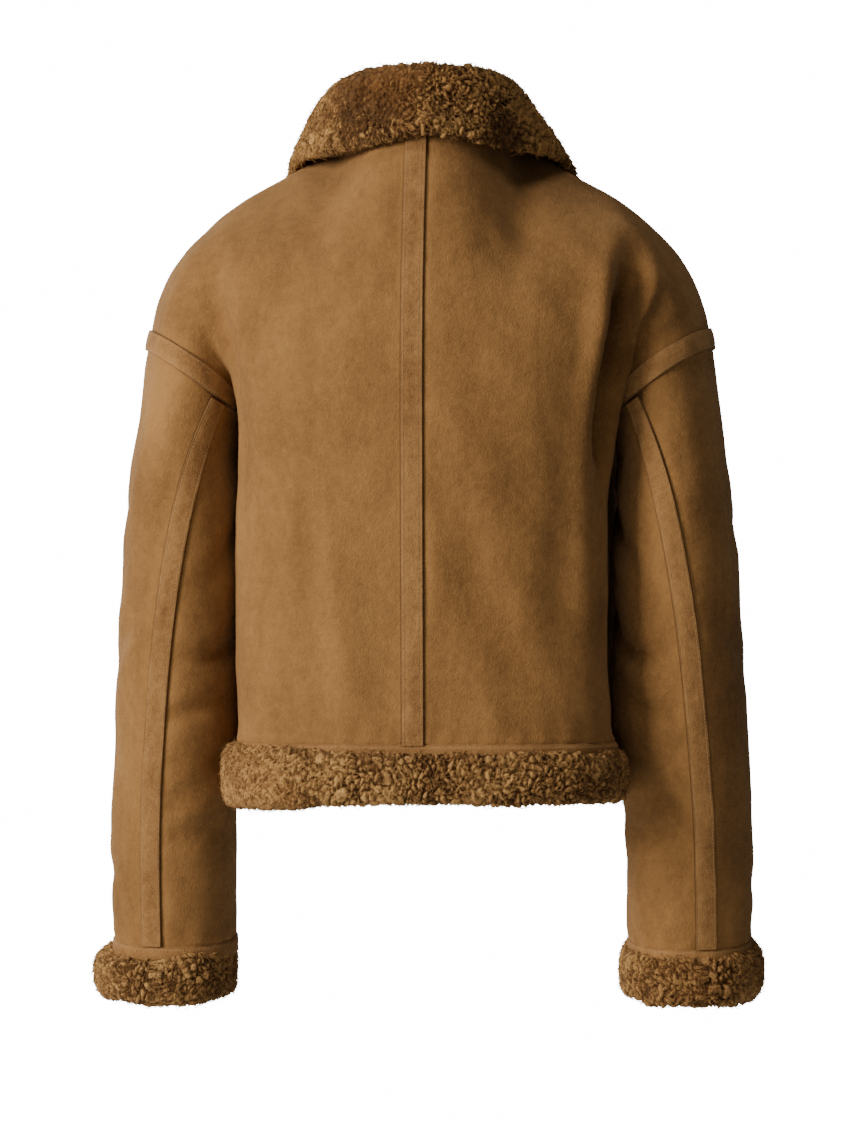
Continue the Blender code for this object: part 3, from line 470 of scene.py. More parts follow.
def suede_nap_and_painted_light():
    """The group that suede shares: mottling and fine nap, with soft placed patches of painted shade and
    painted light. It puts out a colour made darker and lighter by them, and the height of the nap."""
    tree = bpy.data.node_groups.new("suede_nap_and_painted_light", "ShaderNodeTree")
    for name, way, kind in (
        ("Dark", "INPUT", "NodeSocketColor"),
        ("Light", "INPUT", "NodeSocketColor"),
        ("Patches", "INPUT", "NodeSocketFloat"),
        ("Color", "OUTPUT", "NodeSocketColor"),
        ("Height", "OUTPUT", "NodeSocketFloat"),
    ):
        tree.interface.new_socket(name, in_out=way, socket_type=kind)
    given = tree.nodes.new("NodeGroupInput")
    result = tree.nodes.new("NodeGroupOutput")
    place = tree.nodes.new("ShaderNodeTexCoord").outputs["Object"]
    broad = ranged(tree, noise(tree, place, 7.0, 3.0, 0.6), 0.32, 0.68, -0.5, 0.5)
    stroke = ranged(tree, noise(tree, place, 30.0, 5.0, 0.65, (1.0, 1.0, 0.38)), 0.32, 0.68, -0.5, 0.5)
    mottle = ranged(tree, noise(tree, place, 120.0, 4.0, 0.7), 0.3, 0.7, -0.5, 0.5)
    grain = ranged(tree, noise(tree, place, 700.0, 3.0, 0.75), 0.25, 0.75, -0.5, 0.5)
    total = weighed(tree, ((broad, 0.42), (stroke, 0.44), (mottle, 0.40), (grain, 0.60)))
    share = maths(tree, "ADD", maths(tree, "MULTIPLY", total, given.outputs["Patches"]), 0.5)
    # Painted shade and painted light, in soft placed patches.
    share = placed_patches(tree, place, share, NAP_AND_PAINTED_LIGHT_PATCHES)
    colour = blended(tree, share, given.outputs["Dark"], given.outputs["Light"])
    tree.links.new(colour, result.inputs["Color"])
    tree.links.new(weighed(tree, ((grain, 0.7), (mottle, 0.9))), result.inputs["Height"])
    return tree


def suede_finish(name, dark, light, patches):
    """Suede: the nap group's colour, rubbed paler along the edges by wear, with painted shade down in the
    seam and along the very edge of a strap.
    """
    made, tree, principled = shader(name, light, 0.92, 0.22, (0.90, 0.62, 0.34))
    nap = tree.nodes.new("ShaderNodeGroup")
    nap.node_tree = bpy.data.node_groups["suede_nap_and_painted_light"]
    nap.inputs["Dark"].default_value = (*dark, 1.0)
    nap.inputs["Light"].default_value = (*light, 1.0)
    nap.inputs["Patches"].default_value = patches
    edge = tree.nodes.new("ShaderNodeAttribute")
    edge.attribute_name = "edge"
    # Painted shade: within about a millimetre of an edge the colour goes most of the way to a very dark
    # brown.
    seam_painted_shade = ranged(tree, edge.outputs["Fac"], 0.0001, 0.0013, 0.70, 0.0)
    rubbed = ranged(tree, edge.outputs["Fac"], 0.0022, 0.012, 0.20, 0.0)
    colour = blended(tree, rubbed, nap.outputs["Color"], tuple(min(1.0, c * 1.35) for c in light))
    colour = blended(tree, seam_painted_shade, colour, tuple(c * 0.30 for c in dark))
    tree.links.new(colour, principled.inputs["Base Color"])
    bumped(made, nap.outputs["Height"], 0.55, 0.0012)
    return made


def wool_inside_finish():
    """Clipped wool on the inner side of the shearling: dark roots and paler tips in small curls."""
    made, tree, principled = shader("wool_inside", (0.16, 0.085, 0.032), 1.0, 0.5, (0.7, 0.5, 0.3))
    place = tree.nodes.new("ShaderNodeTexCoord").outputs["Object"]
    curl = noise(tree, place, 260.0, 4.0, 0.6)
    patch = noise(tree, place, 30.0, 2.0)
    share = ranged(tree, weighed(tree, ((curl, 0.8), (patch, 0.2))), 0.35, 0.65, 0.0, 1.0)
    colour = blended(tree, share, (0.050, 0.022, 0.006), (0.26, 0.125, 0.038))
    tree.links.new(colour, principled.inputs["Base Color"])
    bumped(made, curl, 1.0, 0.004)
    return made


suede_nap_and_painted_light()
suede = suede_finish("suede", (0.150, 0.068, 0.019), (0.338, 0.168, 0.052), 0.80)
suede_strap = suede_finish("suede_strap", (0.145, 0.064, 0.018), (0.350, 0.178, 0.060), 1.25)
wool_inside = wool_inside_finish()

sleeve = sleeve_grid()
round_sleeve = np.concatenate([sleeve[:, -2:-1], sleeve, sleeve[:, 1:2]], axis=1)
front_seam = sum(SLEEVE_COLUMNS[:2]) + 1
outer_stops = stops(front_seam, 5)
inner_stops = stops(sleeve.shape[1] - 1 - front_seam, 5)
tall = refined(round_sleeve, stops(len(sleeve) - 1, 6))
fine_outer = across(refined(across(tall), outer_stops + 1))
fine_inner = across(refined(across(tall), inner_stops + 1 + front_seam))
SLEEVE_MIDDLE = np.array([0.22, 0.0, -0.5])
suede_panel(
    "sleeve_outer_suede", "sleeve_outer", fine_outer, SLEEVE_MIDDLE, (SLEEVE_FOLDS, SLEEVE_FOLDS),
    ((STRAP_REACH, 0.0, STRAP_REACH, 0.0),) * 2, 1, 11,
)
inner_folds = {**SLEEVE_FOLDS}
for column in ("s0", "s1", "s2"):
    inner_folds[column] = tuple(v - 0.235 for v in SLEEVE_FOLDS[column])
FULLNESS = {  # a soft swelling of the right inner half towards the body, above the cuff
    "s0": 0.070, "z0": -0.470, "s1": 0.085, "z1": -0.550,
    "s2": 0.075, "z2": -0.630, "depth": -0.0085, "reach": 0.034,
}
right_inner_folds = {key: values + (FULLNESS[key],) for key, values in inner_folds.items()}
suede_panel(
    "sleeve_inner_suede", "sleeve_inner", fine_inner, SLEEVE_MIDDLE, (inner_folds, right_inner_folds),
    ((STRAP_REACH, 0.0, 0.0, STRAP_REACH),) * 2, 1, 21,
)

# ---- Body panels ----
# The back is cut in two halves that reach over the shoulder to its seam, and the front in two that meet
# at the zip. They are the same shearling, and fall in a few long soft folds from the shoulder blades.
HEM_Z = -0.561
ARMPIT_Z = -0.262
NECK_HALF_WIDTH = 0.074
NECK_BACK = (0.078, 0.022)
NECK_SIDE_Z = -0.008
NECK_FRONT = (-0.080, -0.055)
FRONT_EDGE_X = 0.009
FRONT_FIRST_COLUMN = 0.012
BACK_STRAP_EDGES = (0.0035, 0.0165)
BODY_SQUARENESS = 3.0
ARM_DENT_REACH = 0.055
BODY_RINGS = {
    "z": (-0.561, -0.500, -0.430, -0.340, -0.275, -0.262),
    "half_width": (0.184, 0.184, 0.184, 0.183, 0.181, 0.180),
    "dent": (0.027, 0.026, 0.026, 0.026, 0.024, 0.015),
}
BACK_PROFILE = {
    "z": (-0.561, -0.430, -0.330, -0.250, -0.180, -0.120, -0.060, -0.015, 0.022),
    "y": (0.140, 0.146, 0.153, 0.156, 0.152, 0.140, 0.120, 0.099, 0.078),
}
FRONT_PROFILE = {
    "z": (-0.561, -0.430, -0.330, -0.250, -0.190, -0.140, -0.095, -0.055),
    "y": (-0.146, -0.150, -0.156, -0.158, -0.152, -0.138, -0.113, -0.080),
}
SHOULDER_LINE = {
    "x": (0.074, 0.105, 0.142, 0.175, 0.207, 0.233, 0.250, 0.259),
    "z": (-0.008, -0.026, -0.047, -0.066, -0.093, -0.124, -0.160, -0.193),
}
PRESSED_FOLDS = {
    "top_x": (0.196, 0.060, 0.095),
    "top_z": (-0.120, -0.300, -0.330),
    "bottom_x": (0.186, 0.035, 0.135),
    "bottom_z": (-0.262, -0.520, -0.540),
    "depth": (0.010, 0.0020, 0.0025),
    "reach": (0.016, 0.020, 0.018),
}
BODY_COLUMNS = 11
BODY_ROWS = 8
NECK_COLUMNS = 4


def half_section(z, profile):
    """A quarter of a superellipse from the centre line to the side, with a dent pressed in by the arm."""
    turn = np.linspace(0, math.pi / 2, FINE)
    half, dent = (smooth(z, BODY_RINGS["z"], BODY_RINGS[k]) for k in ("half_width", "dent"))
    x = half * power(np.sin(turn), BODY_SQUARENESS)
    y = smooth(z, profile["z"], profile["y"]) * power(np.cos(turn), BODY_SQUARENESS)
    x = x - dent * np.exp(-((y / ARM_DENT_REACH) ** 2)) * (x / half) ** 4
    return np.stack([x, y, np.full(FINE, z)], axis=1)


def neckline(turn):
    """The neck seam by its turn from the centre back: an oval, low in front and high behind."""
    turn = np.radians(np.asarray(turn, float))
    back, front = np.cos(turn).clip(0), (-np.cos(turn)).clip(0)
    y = NECK_BACK[0] * back + NECK_FRONT[0] * front
    z = NECK_SIDE_Z + (NECK_BACK[1] - NECK_SIDE_Z) * back + (NECK_FRONT[1] - NECK_SIDE_Z) * front
    return np.stack([NECK_HALF_WIDTH * np.sin(turn), y, z], axis=-1)


def pressed(points):
    """Presses the longest folds into the back, each a trough that fades at its ends and at the side."""
    x, z = np.abs(points[..., 0]), points[..., 2]
    push = np.zeros_like(x)
    for top_x, top_z, bottom_x, bottom_z, depth, reach in zip(*PRESSED_FOLDS.values()):
        down = (top_z - z) / (top_z - bottom_z)
        beside = (x - top_x - (bottom_x - top_x) * down) / reach
        push += depth * np.sin(np.pi * np.clip(down, 0.0, 1.0)).clip(0, 1) * np.exp(-(beside**2))
    out = points.copy()
    out[..., 1] -= push * (1 - np.linspace(0, 1, points.shape[1]) ** 6)
    return out


def body_panel(profile, neck_turns, arm_edge, first_stop):
    """Rows of a body panel: level sections up to the armpit, then a patch between the armpit row, the
    centre line, the armhole, and the top edge of neckline and shoulder."""
    lower = [half_section(z, profile) for z in np.linspace(HEM_Z, ARMPIT_Z, BODY_ROWS)]
    armpit = armhole(180.0)
    lower[-1][-1] = armpit
    lower[-1] = lower[-1] + np.linspace(0, 1, FINE)[:, None] ** 6 * (armpit - lower[-1][-1])
    neck = neckline(neck_turns)
    x = np.linspace(SHOULDER_LINE["x"][0], SHOULDER_LINE["x"][-1], FINE)
    shoulder = np.stack([x, np.zeros(FINE), smooth(x, SHOULDER_LINE["x"], SHOULDER_LINE["z"])], axis=1)
    top_edge = np.concatenate([neck, shoulder[1:]])
    top = spaced(top_edge, np.linspace(0, lengths(top_edge)[-1], FINE))
    bottom = spaced(lower[-1], np.linspace(0, lengths(lower[-1])[-1], FINE))
    arm_share = lengths(arm_edge) / lengths(arm_edge)[-1]
    z = np.linspace(ARMPIT_Z, top[0][2], FINE)
    centre = np.stack([np.zeros(FINE), smooth(z, profile["z"], profile["y"]), z], axis=1)
    centre = spaced(centre, arm_share * lengths(centre)[-1])
    over = np.linspace(0, 1, FINE)[:, None]
    upper = []
    for share, arm_point, centre_point in zip(arm_share[1:], arm_edge[1:], centre[1:]):
        rise = power(math.sin(share * math.pi / 2), 2.2)
        fall = 1 - power(math.cos(share * math.pi / 2), 2.2)
        row = bottom + (top - bottom) * np.array([(1 - math.cos(share * math.pi)) / 2, fall, rise])
        row = row + (1 - over**2) ** 3 * (centre_point - row[0])
        upper.append(row + over**2.6 * (arm_point - row[-1]))
    grid = []
    for row in lower + upper[:-1]:
        total = lengths(row)[-1]
        places = np.linspace(first_stop[-1], total - STRAP_REACH, BODY_COLUMNS)
        grid.append(spaced(row, np.concatenate([first_stop[:-1], places, [total]])))
    corner, total = lengths(neck)[-1], lengths(top_edge)[-1]
    over_neck = np.linspace(first_stop[-1], corner, NECK_COLUMNS)
    over_shoulder = np.linspace(corner, total - STRAP_REACH, BODY_COLUMNS - NECK_COLUMNS + 1)[1:]
    grid.append(spaced(top_edge, np.concatenate([first_stop[:-1], over_neck, over_shoulder, [total]])))
    grid = np.array(grid)
    share = np.linspace(0, 1, grid.shape[1])[:, None]
    for _ in range(6):
        middle = (grid[:-2] + 2 * grid[1:-1] + grid[2:]) / 4
        grid[1:-1] += (middle - grid[1:-1]) * (share > 0) * (1 - share) ** 2
    grid[1:-1, 0, 2] = grid[1:-1, 1, 2]
    if first_stop[0] == 0:
        near, far = grid[1:-1, 1], grid[1:-1, 2]
        crown = near[:, 0] ** 2 / (far[:, 0] ** 2 - near[:, 0] ** 2)
        grid[1:-1, 0, 1] = near[:, 1] + (near[:, 1] - far[:, 1]) * crown
    else:
        grid[1:-1, 0, 1] = smooth(grid[1:-1, 0, 2], profile["z"], profile["y"])
    return grid


BACK_FOLDS_LEFT = {  # s runs across from the centre back
    "s0": (0.206, 0.186, 0.100, 0.065, 0.150, 0.206, 0.196, 0.120),
    "z0": (-0.130, -0.266, -0.330, -0.420, -0.330, -0.330, -0.440, -0.120),
    "s1": (0.196, 0.180, 0.096, 0.075, 0.140, 0.198, 0.190, 0.150),
    "z1": (-0.190, -0.290, -0.430, -0.490, -0.420, -0.410, -0.490, -0.170),
    "s2": (0.186, 0.168, 0.083, 0.060, 0.146, 0.202, 0.196, 0.168),
    "z2": (-0.250, -0.312, -0.525, -0.545, -0.500, -0.470, -0.545, -0.230),
    "depth": (0.0055, 0.0036, 0.0022, -0.0018, 0.0018, 0.0030, 0.0022, 0.0020),
    "reach": (0.013, 0.009, 0.011, 0.022, 0.016, 0.011, 0.010, 0.020),
}
BACK_FOLDS_RIGHT = {
    "s0": (0.204, 0.170, 0.006, 0.040, 0.140, 0.216, 0.110, 0.060, 0.182),
    "z0": (-0.125, -0.240, -0.290, -0.420, -0.300, -0.270, -0.130, -0.060, -0.210),
    "s1": (0.186, 0.168, 0.050, 0.045, 0.125, 0.212, 0.150, 0.100, 0.176),
    "z1": (-0.190, -0.400, -0.410, -0.480, -0.380, -0.420, -0.190, -0.110, -0.270),
    "s2": (0.184, 0.176, 0.100, 0.060, 0.140, 0.216, 0.160, 0.150, 0.178),
    "z2": (-0.290, -0.550, -0.540, -0.540, -0.500, -0.570, -0.250, -0.150, -0.340),
    "depth": (0.0320, 0.0030, 0.0038, -0.0016, 0.0020, 0.0115, 0.0014, 0.0012, 0.0120),
    "reach": (0.0150, 0.013, 0.022, 0.018, 0.016, 0.030, 0.020, 0.022, 0.015),
}
FRONT_FOLDS = {  # s runs across from the front edge
    "s0": (0.060, 0.120, 0.040, 0.170, 0.215, 0.090, 0.140),
    "z0": (-0.200, -0.280, -0.440, -0.180, -0.300, -0.330, -0.450),
    "s1": (0.080, 0.135, 0.070, 0.185, 0.200, 0.100, 0.165),
    "z1": (-0.330, -0.400, -0.500, -0.270, -0.380, -0.420, -0.500),
    "s2": (0.070, 0.120, 0.120, 0.170, 0.205, 0.085, 0.200),
    "z2": (-0.480, -0.520, -0.545, -0.360, -0.480, -0.520, -0.550),
    "depth": (0.0024, 0.0020, 0.0016, 0.0026, 0.0026, 0.0016, 0.0018),
    "reach": (0.024, 0.018, 0.016, 0.018, 0.016, 0.020, 0.014),
}
tip, armpit_column = SLEEVE_COLUMNS[0] + 1, front_seam + SLEEVE_COLUMNS[2]
back_arm_edge = np.concatenate([sleeve[0][armpit_column:-1], sleeve[0][: tip + 1]])
front_arm_edge = sleeve[0][tip : armpit_column + 1][::-1]
back = pressed(body_panel(BACK_PROFILE, np.linspace(0, 90, FINE), back_arm_edge, (0.0, *BACK_STRAP_EDGES)))
front_stops = (FRONT_EDGE_X, FRONT_EDGE_X + FRONT_FIRST_COLUMN)
front = body_panel(FRONT_PROFILE, np.linspace(180, 90, FINE), front_arm_edge, front_stops)


def finer(grid, per_row, per_column):
    """A coarse panel grid refined both ways."""
    tall = refined(grid, stops(grid.shape[0] - 1, per_row))
    return across(refined(across(tall), stops(grid.shape[1] - 1, per_column)))


BODY_MIDDLE = np.array([0.0, 0.0, -0.3])
under_straps = [(0.0, 0.0, strip, STRAP_REACH) for strip in BACK_STRAP_EDGES[::-1]]
suede_panel(
    "back_suede", "back", finer(back, 5, 6), BODY_MIDDLE, (BACK_FOLDS_LEFT, BACK_FOLDS_RIGHT),
    under_straps, 0, 31,
)
suede_panel(
    "front_suede", "front", finer(front, 6, 6), BODY_MIDDLE, (FRONT_FOLDS, FRONT_FOLDS),
    ((0.0, 0.0, 0.0, STRAP_REACH),) * 2, 0, 41,
)

# ---- Straps over the seams ----
# Flat strips of the same suede, nap side out, are laid over the centre back, armhole and sleeve seams and
# sewn down along both edges. The centre back strap laps to one side.
STRAP_THICKNESS = 0.0019
STRAP_LIFT = 0.0003
STRAP_ROUND = 0.0011
STRAP_CUTS = 5
STITCH_PITCH = 0.0031
STITCH_LENGTH = 0.0023
STITCH_RADIUS = 0.00034
STITCH_INSET = 0.0024
STITCH_RINGS = (  # each ring's share of the length from the middle, and its girth and rise in radii
    (-0.5, 0.35, -0.9), (-0.27, 0.95, 0.1), (0.27, 0.95, 0.1), (0.5, 0.35, -0.9),
)
BAND_SKIPPED_ROWS = {"back": 4, "front": 2}


def stitch_row(line, normals):
    """Stitches along a line: each is a short thick thread with round ends, half sunk in the suede."""
    along = lengths(line)
    count = int(along[-1] / STITCH_PITCH)
    centre = (np.arange(count) + 0.5) * along[-1] / count
    ends = [spaced(line, centre + share * STITCH_LENGTH) for share in (-0.5, 0.0, 0.5)]
    up = unit(np.stack([np.interp(centre, along, normals[:, k]) for k in range(3)], axis=1))
    ahead = unit(ends[2] - ends[0])
    side = np.cross(ahead, up)
    turn = np.arange(5) * math.pi / 2.5
    rings = []
    for share, girth, rise in STITCH_RINGS:
        middle = ends[1] + ahead * share * STITCH_LENGTH + up * rise * STITCH_RADIUS
        ring = side[:, None] * np.cos(turn)[:, None] + up[:, None] * np.sin(turn)[:, None]
        rings.append(middle[:, None] + ring * girth * STITCH_RADIUS)
    return np.stack(rings, axis=1)


def stitches(name, rows):
    """One object of all the stitches of a strap."""
    threads = np.concatenate(rows)
    count, rings, sides = threads.shape[:3]
    face = quads(rings, sides, wrap=True)
    caps = np.array([np.arange(sides)[::-1], np.arange(sides) + (rings - 1) * sides])
    first = np.arange(count)[:, None, None] * rings * sides
    body = (face[None] + first).reshape(-1, 4)
    ends = (caps[None] + first).reshape(-1, sides)
    piece = plain_piece(name, threads, body.tolist() + ends.tolist())
    piece.data.materials.append(thread)
    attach(piece, "jacket")
    return piece


def strap_piece(name, node, coarse, middle, flips, per_row):
    """A strap laid on the panels' own points: a strip with a soft, rounded edge, pressed down along its
    stitches, and its underside flat on the suede."""
    grid = finer(coarse, per_row, STRAP_CUTS)
    normals = faced_out(grid, middle)
    _, (along, _, from_left, from_right) = edge_distance(grid)
    side = np.minimum(from_left, from_right)
    round_edge = np.sqrt(1 - (1 - np.clip(side / STRAP_ROUND, 0, 1)) ** 2) * 0.85 + 0.15
    sewn = np.exp(-(((side - STITCH_INSET) / 0.0009) ** 2))
    sewn *= 0.7 + 0.3 * np.cos(2 * np.pi * along / STITCH_PITCH)
    height = STRAP_THICKNESS * round_edge - 0.0005 * sewn + 0.00025 * swell(grid, 0.02, len(name))
    outer = grid + normals * (STRAP_LIFT + height)[..., None]
    inner = grid + normals * STRAP_LIFT
    lines = []
    for inset in (np.full(len(grid), STITCH_INSET), from_left[:, -1] - STITCH_INSET):
        line = [
            [np.interp(place, places, row[:, k]) for k in range(3)]
            for place, places, row in zip(inset, from_left, outer)
        ]
        lines.append((np.array(line), normals[:, normals.shape[1] // 2]))
    for suffix, flip in flips:
        # The distance from the strap's sides gives its very edge the suede's painted shade.
        piece = wall(f"{name}{suffix}", outer * flip, inner * flip, side)
        piece.data.materials[0] = suede_strap
        piece.data.materials[1] = suede_strap
        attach(piece, "jacket")
        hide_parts(f"{node}{suffix}")
        rows = [stitch_row(line * flip, up * flip) for line, up in lines]
        sewing = stitches(f"{name}_stitches{suffix}", rows)


thread = shader("thread", (0.36, 0.215, 0.095), 0.6, 0.15, (0.9, 0.75, 0.55))[0]
whole = (("", np.ones(3)),)
back_strap = np.stack([mirrored(back[:, 1]), back[:, 0], back[:, 1], back[:, 2]], axis=1)
strap_piece("back_strap_suede", "back_strap", back_strap, BODY_MIDDLE, whole, 5)

sleeve_left, sleeve_right = sleeve[:, : front_seam + 1], sleeve[:, front_seam:]
strap = np.stack([sleeve_right[1:, -2], sleeve_left[1:, 0], sleeve_left[1:, 1]], axis=1)
strap[0] += (strap[1] - strap[0]) * 0.06
strap[-1] += (strap[-2] - strap[-1]) * 0.06
strap_piece("sleeve_strap_suede", "sleeve_strap", strap, SLEEVE_MIDDLE, both, 6)

first = {name: BODY_ROWS - 1 + skipped for name, skipped in BAND_SKIPPED_ROWS.items()}
around = np.concatenate([sleeve_left, sleeve_right[:, 1:-1]], axis=1)
seam, body_side = (
    np.concatenate([back[first["back"] :, column], front[first["front"] :, column][:-1][::-1]])
    for column in (-1, -2)
)
match = [int(np.argmin(np.linalg.norm(around[0] - point, axis=1))) for point in seam]
band = np.stack([body_side, seam, around[1][match]], axis=1)
ARMHOLE_MIDDLE = np.array([0.17, 0.0, -0.25])
strap_piece("armhole_band_suede", "armhole_band", band, ARMHOLE_MIDDLE, both, 5)

# ---- Hem and cuff welts ----
# Below the seam at the hem and at each cuff a narrow folded edge of suede stands out a little, with one
# row of stitches near its top.
HEM_WELT_HEIGHT = 0.0095
CUFF_WELT_HEIGHT = 0.014
WELT_STANDOFF = 0.0012
HEM_TOWARDS_ZIP = 0.0045
WELT_THICKNESS = 0.003


def refined_line(points, per_cell, closed=False):
    """A line of points made finer by the cubic Hermite curve through them."""
    if closed:
        points = np.concatenate([points[-2:], points, points[:3]])
    at = np.linspace(0, len(points) - 1, (len(points) - 1) * per_cell + 1)
    line = refined(points[:, None], at)[:, 0]
    return line[2 * per_cell : -3 * per_cell] if closed else line


def level_out(ring, closed):
    """Level unit vectors that point out of a ring of points."""
    step = np.roll(ring, -1, axis=0) - np.roll(ring, 1, axis=0) if closed else np.gradient(ring, axis=0)
    out = unit(np.stack([step[:, 1], -step[:, 0], np.zeros(len(ring))], axis=1))
    return out if ((ring - ring.mean(axis=0)) * out).sum() > 0 else -out


def ring_wall(name, outer, inner, edge):
    """A closed wall between two grids whose columns run right round."""
    rows, columns = outer.shape[:2]
    face = quads(rows, columns, wrap=True)
    count = rows * columns
    near, next_to = np.arange(columns), (np.arange(columns) + 1) % columns
    last = (rows - 1) * columns
    rims = [
        np.stack([next_to + row, near + row, near + row + count, next_to + row + count], axis=1)[:, ::way]
        for row, way in ((0, 1), (last, -1))
    ]
    faces = np.concatenate([face, face[:, ::-1] + count, *rims])
    return two_faced(name, outer, inner, edge, faces)


def welt(name, node, ring, out, height, closed, flat):
    """A welt: a strip that hangs from the seam, its face swelling a little between its two edges, and its
    seam allowance turned up inside the panel above."""
    down = np.concatenate([[-0.35], np.linspace(-0.04, 1, 9)])
    lip = 0.0010 * np.sqrt(np.clip(1 - (2 * down - 1) ** 2, 0, 1)) - 0.0030 * (down < -0.1)
    wave = 0.0005 * swell(ring, 0.03, 5)
    skin = ring[None] + out[None] * (WELT_STANDOFF + lip[:, None] - 0.0004 + wave)[..., None]
    skin[..., 2] -= (0.00015 + down * (height - 0.0003))[:, None]
    under = skin - out * WELT_THICKNESS
    # Starting at 0.0009, the edge distance gives the welt only a little of the suede's painted seam shade at
    # its top and bottom.
    edge = np.broadcast_to((np.minimum(down, 1 - down).clip(0) * height + 0.0009)[:, None], skin.shape[:2])
    piece = ring_wall(name, skin, under, edge) if closed else wall(name, skin, under, edge)
    piece.data.materials.clear()
    piece.data.materials.append(suede_strap)
    piece.data.polygons.foreach_set("material_index", np.zeros(len(piece.data.polygons), np.int32))
    row = skin[2 if closed else 3]
    line = np.concatenate([row, row[:1]]) if closed else row
    ups = np.concatenate([out, out[:1]]) if closed else out
    sewing = stitches(f"{name}_stitches", [stitch_row(line, ups)])
    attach(piece, "jacket")
    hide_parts(node)


hem_back = np.concatenate([mirrored(back[0][1:])[::-1], back[0][1:]])
hem_front = front[0]
hems = {"back": hem_back, "front_left": hem_front, "front_right": mirrored(hem_front)}


def hem_line(part, per_cell):
    """A hem's seam line at one height and its level unit vectors outwards. Beside the zip the front lines
    reach a little past the panels, to close the corner."""
    ring = refined_line(hems[part], per_cell)
    ring[:, 2] = HEM_Z
    out = level_out(ring, False)
    out *= np.sign((out * ring).sum(axis=1, keepdims=True))
    if part != "back":
        towards_zip = np.exp(-(((np.abs(ring[:, 0]) - FRONT_EDGE_X) / 0.02) ** 2))
        ring[:, 0] -= np.sign(ring[:, 0]) * HEM_TOWARDS_ZIP * towards_zip
    return ring, out


for part in hems:
    flat = (0.0135, 0.545) if part == "back" else (0.0135, 0.269)
    welt(f"hem_welt_suede_{part}", f"hem_welt_{part}", *hem_line(part, 10), HEM_WELT_HEIGHT, False, flat)
cuff_coarse = np.concatenate([sleeve_left[-1], sleeve_right[-1][1:-1]])
cuff_ring = refined_line(cuff_coarse, 8, closed=True)[:-1]
cuff_out = level_out(cuff_ring, True)
fine_cuff = refined_line(cuff_coarse, 17, closed=True)[:-1]
fine_cuff_out = level_out(fine_cuff, True)
for side, flip in both:
    ring, out = cuff_ring * flip, cuff_out * flip
    welt(f"cuff_welt_suede{side}", f"cuff_welt{side}", ring, out, CUFF_WELT_HEIGHT, True, (0.0185, 0.370))

# ---- Wool at the hem and cuffs ----
# The shearling is turned out at the hem and the cuffs, so that its long wool shows as a fat curly roll.
# Each roll is a body of packed curls, every curl a soft nub, with fine loose hairs over it.
HEM_DROP = 0.060
HEM_WOOL_OUT = 0.0135
HEM_WOOL_IN = 0.014
CUFF_WOOL_DROP = 0.053
CUFF_WOOL_OUT = 0.0115
CUFF_WOOL_SWELL = {"_left": 0.0095, "_right": 0.0015}  # how much fatter the roll is at the outer side
CUFF_WOOL_IN = 0.014
WOOL_SQUARENESS = 2.6
PILE_DEPTH = 0.0050
TUCKED = 0.0050
CURL_REPEAT = 24
POINT_SPACING = 0.00125
HEM_PATTERN = ((0.45, 0.0, 0.9), 1.5, 0.0062)  # the curls' grain, how far it draws them out, their size
CUFF_PATTERN = ((0.3, 0.0, 0.9), 1.5, 0.0056)


def roll(ring, out, top, bottom, out_by, in_by, inset):
    """Rings of a fat wool roll: an upright oval carried along a seam, drawn in by the inset. Its points are
    close together on its outer side and further apart inside, where the mask that comes with it is 0."""
    typical = float(np.mean(out_by)) - inset, in_by - inset
    fine = np.linspace(-math.pi, math.pi, 721)
    level = (typical[0] + typical[1]) / 2 * power(np.cos(fine), WOOL_SQUARENESS)
    upright = (np.mean(bottom - top) / 2 - inset) * power(np.sin(fine), WOOL_SQUARENESS)
    closeness = np.where(np.cos(fine[1:]) > -0.4, 1.0, 0.42)
    run = np.concatenate([[0.0], (np.hypot(np.diff(level), np.diff(upright)) * closeness).cumsum()])
    turn = np.interp(np.linspace(0, run[-1], round(run[-1] / POINT_SPACING) + 1)[:-1], run, fine)[::-1]
    top, bottom, out_by = (np.broadcast_to(value, len(ring))[:, None] for value in (top, bottom, out_by))
    out_by, in_by = out_by - inset, in_by - inset
    reach = (out_by - in_by) / 2 + (out_by + in_by) / 2 * power(np.cos(turn), WOOL_SQUARENESS)
    below = (top + bottom) / 2 - ((bottom - top) / 2 - inset) * power(np.sin(turn), WOOL_SQUARENESS)
    rings = ring[:, None] + out[:, None] * reach[..., None]
    rings[..., 2] -= below
    return rings, np.cos(turn) > -0.3


def curl_cells(places, seed):
    """Distances from each place to the nearest and the second nearest curl's centre, and the nearest
    curl's own number. There is one shaken centre in every cube of a lattice of side 1."""
    centres = np.random.default_rng(seed).uniform(0.1, 0.9, (CURL_REPEAT, CURL_REPEAT, CURL_REPEAT, 4))
    cube = np.floor(places).astype(int)
    nearest, second, own = (np.full(places.shape[:-1], 9.0) for _ in range(3))
    for step in np.ndindex(3, 3, 3):
        at = cube + np.array(step) - 1
        found = centres[tuple(np.moveaxis(at % CURL_REPEAT, -1, 0))]
        away = np.linalg.norm(at + found[..., :3] - places, axis=-1)
        closer = away < nearest
        second = np.where(closer, nearest, np.minimum(second, away))
        own = np.where(closer, found[..., 3], own)
        nearest = np.minimum(nearest, away)
    return nearest, second, own


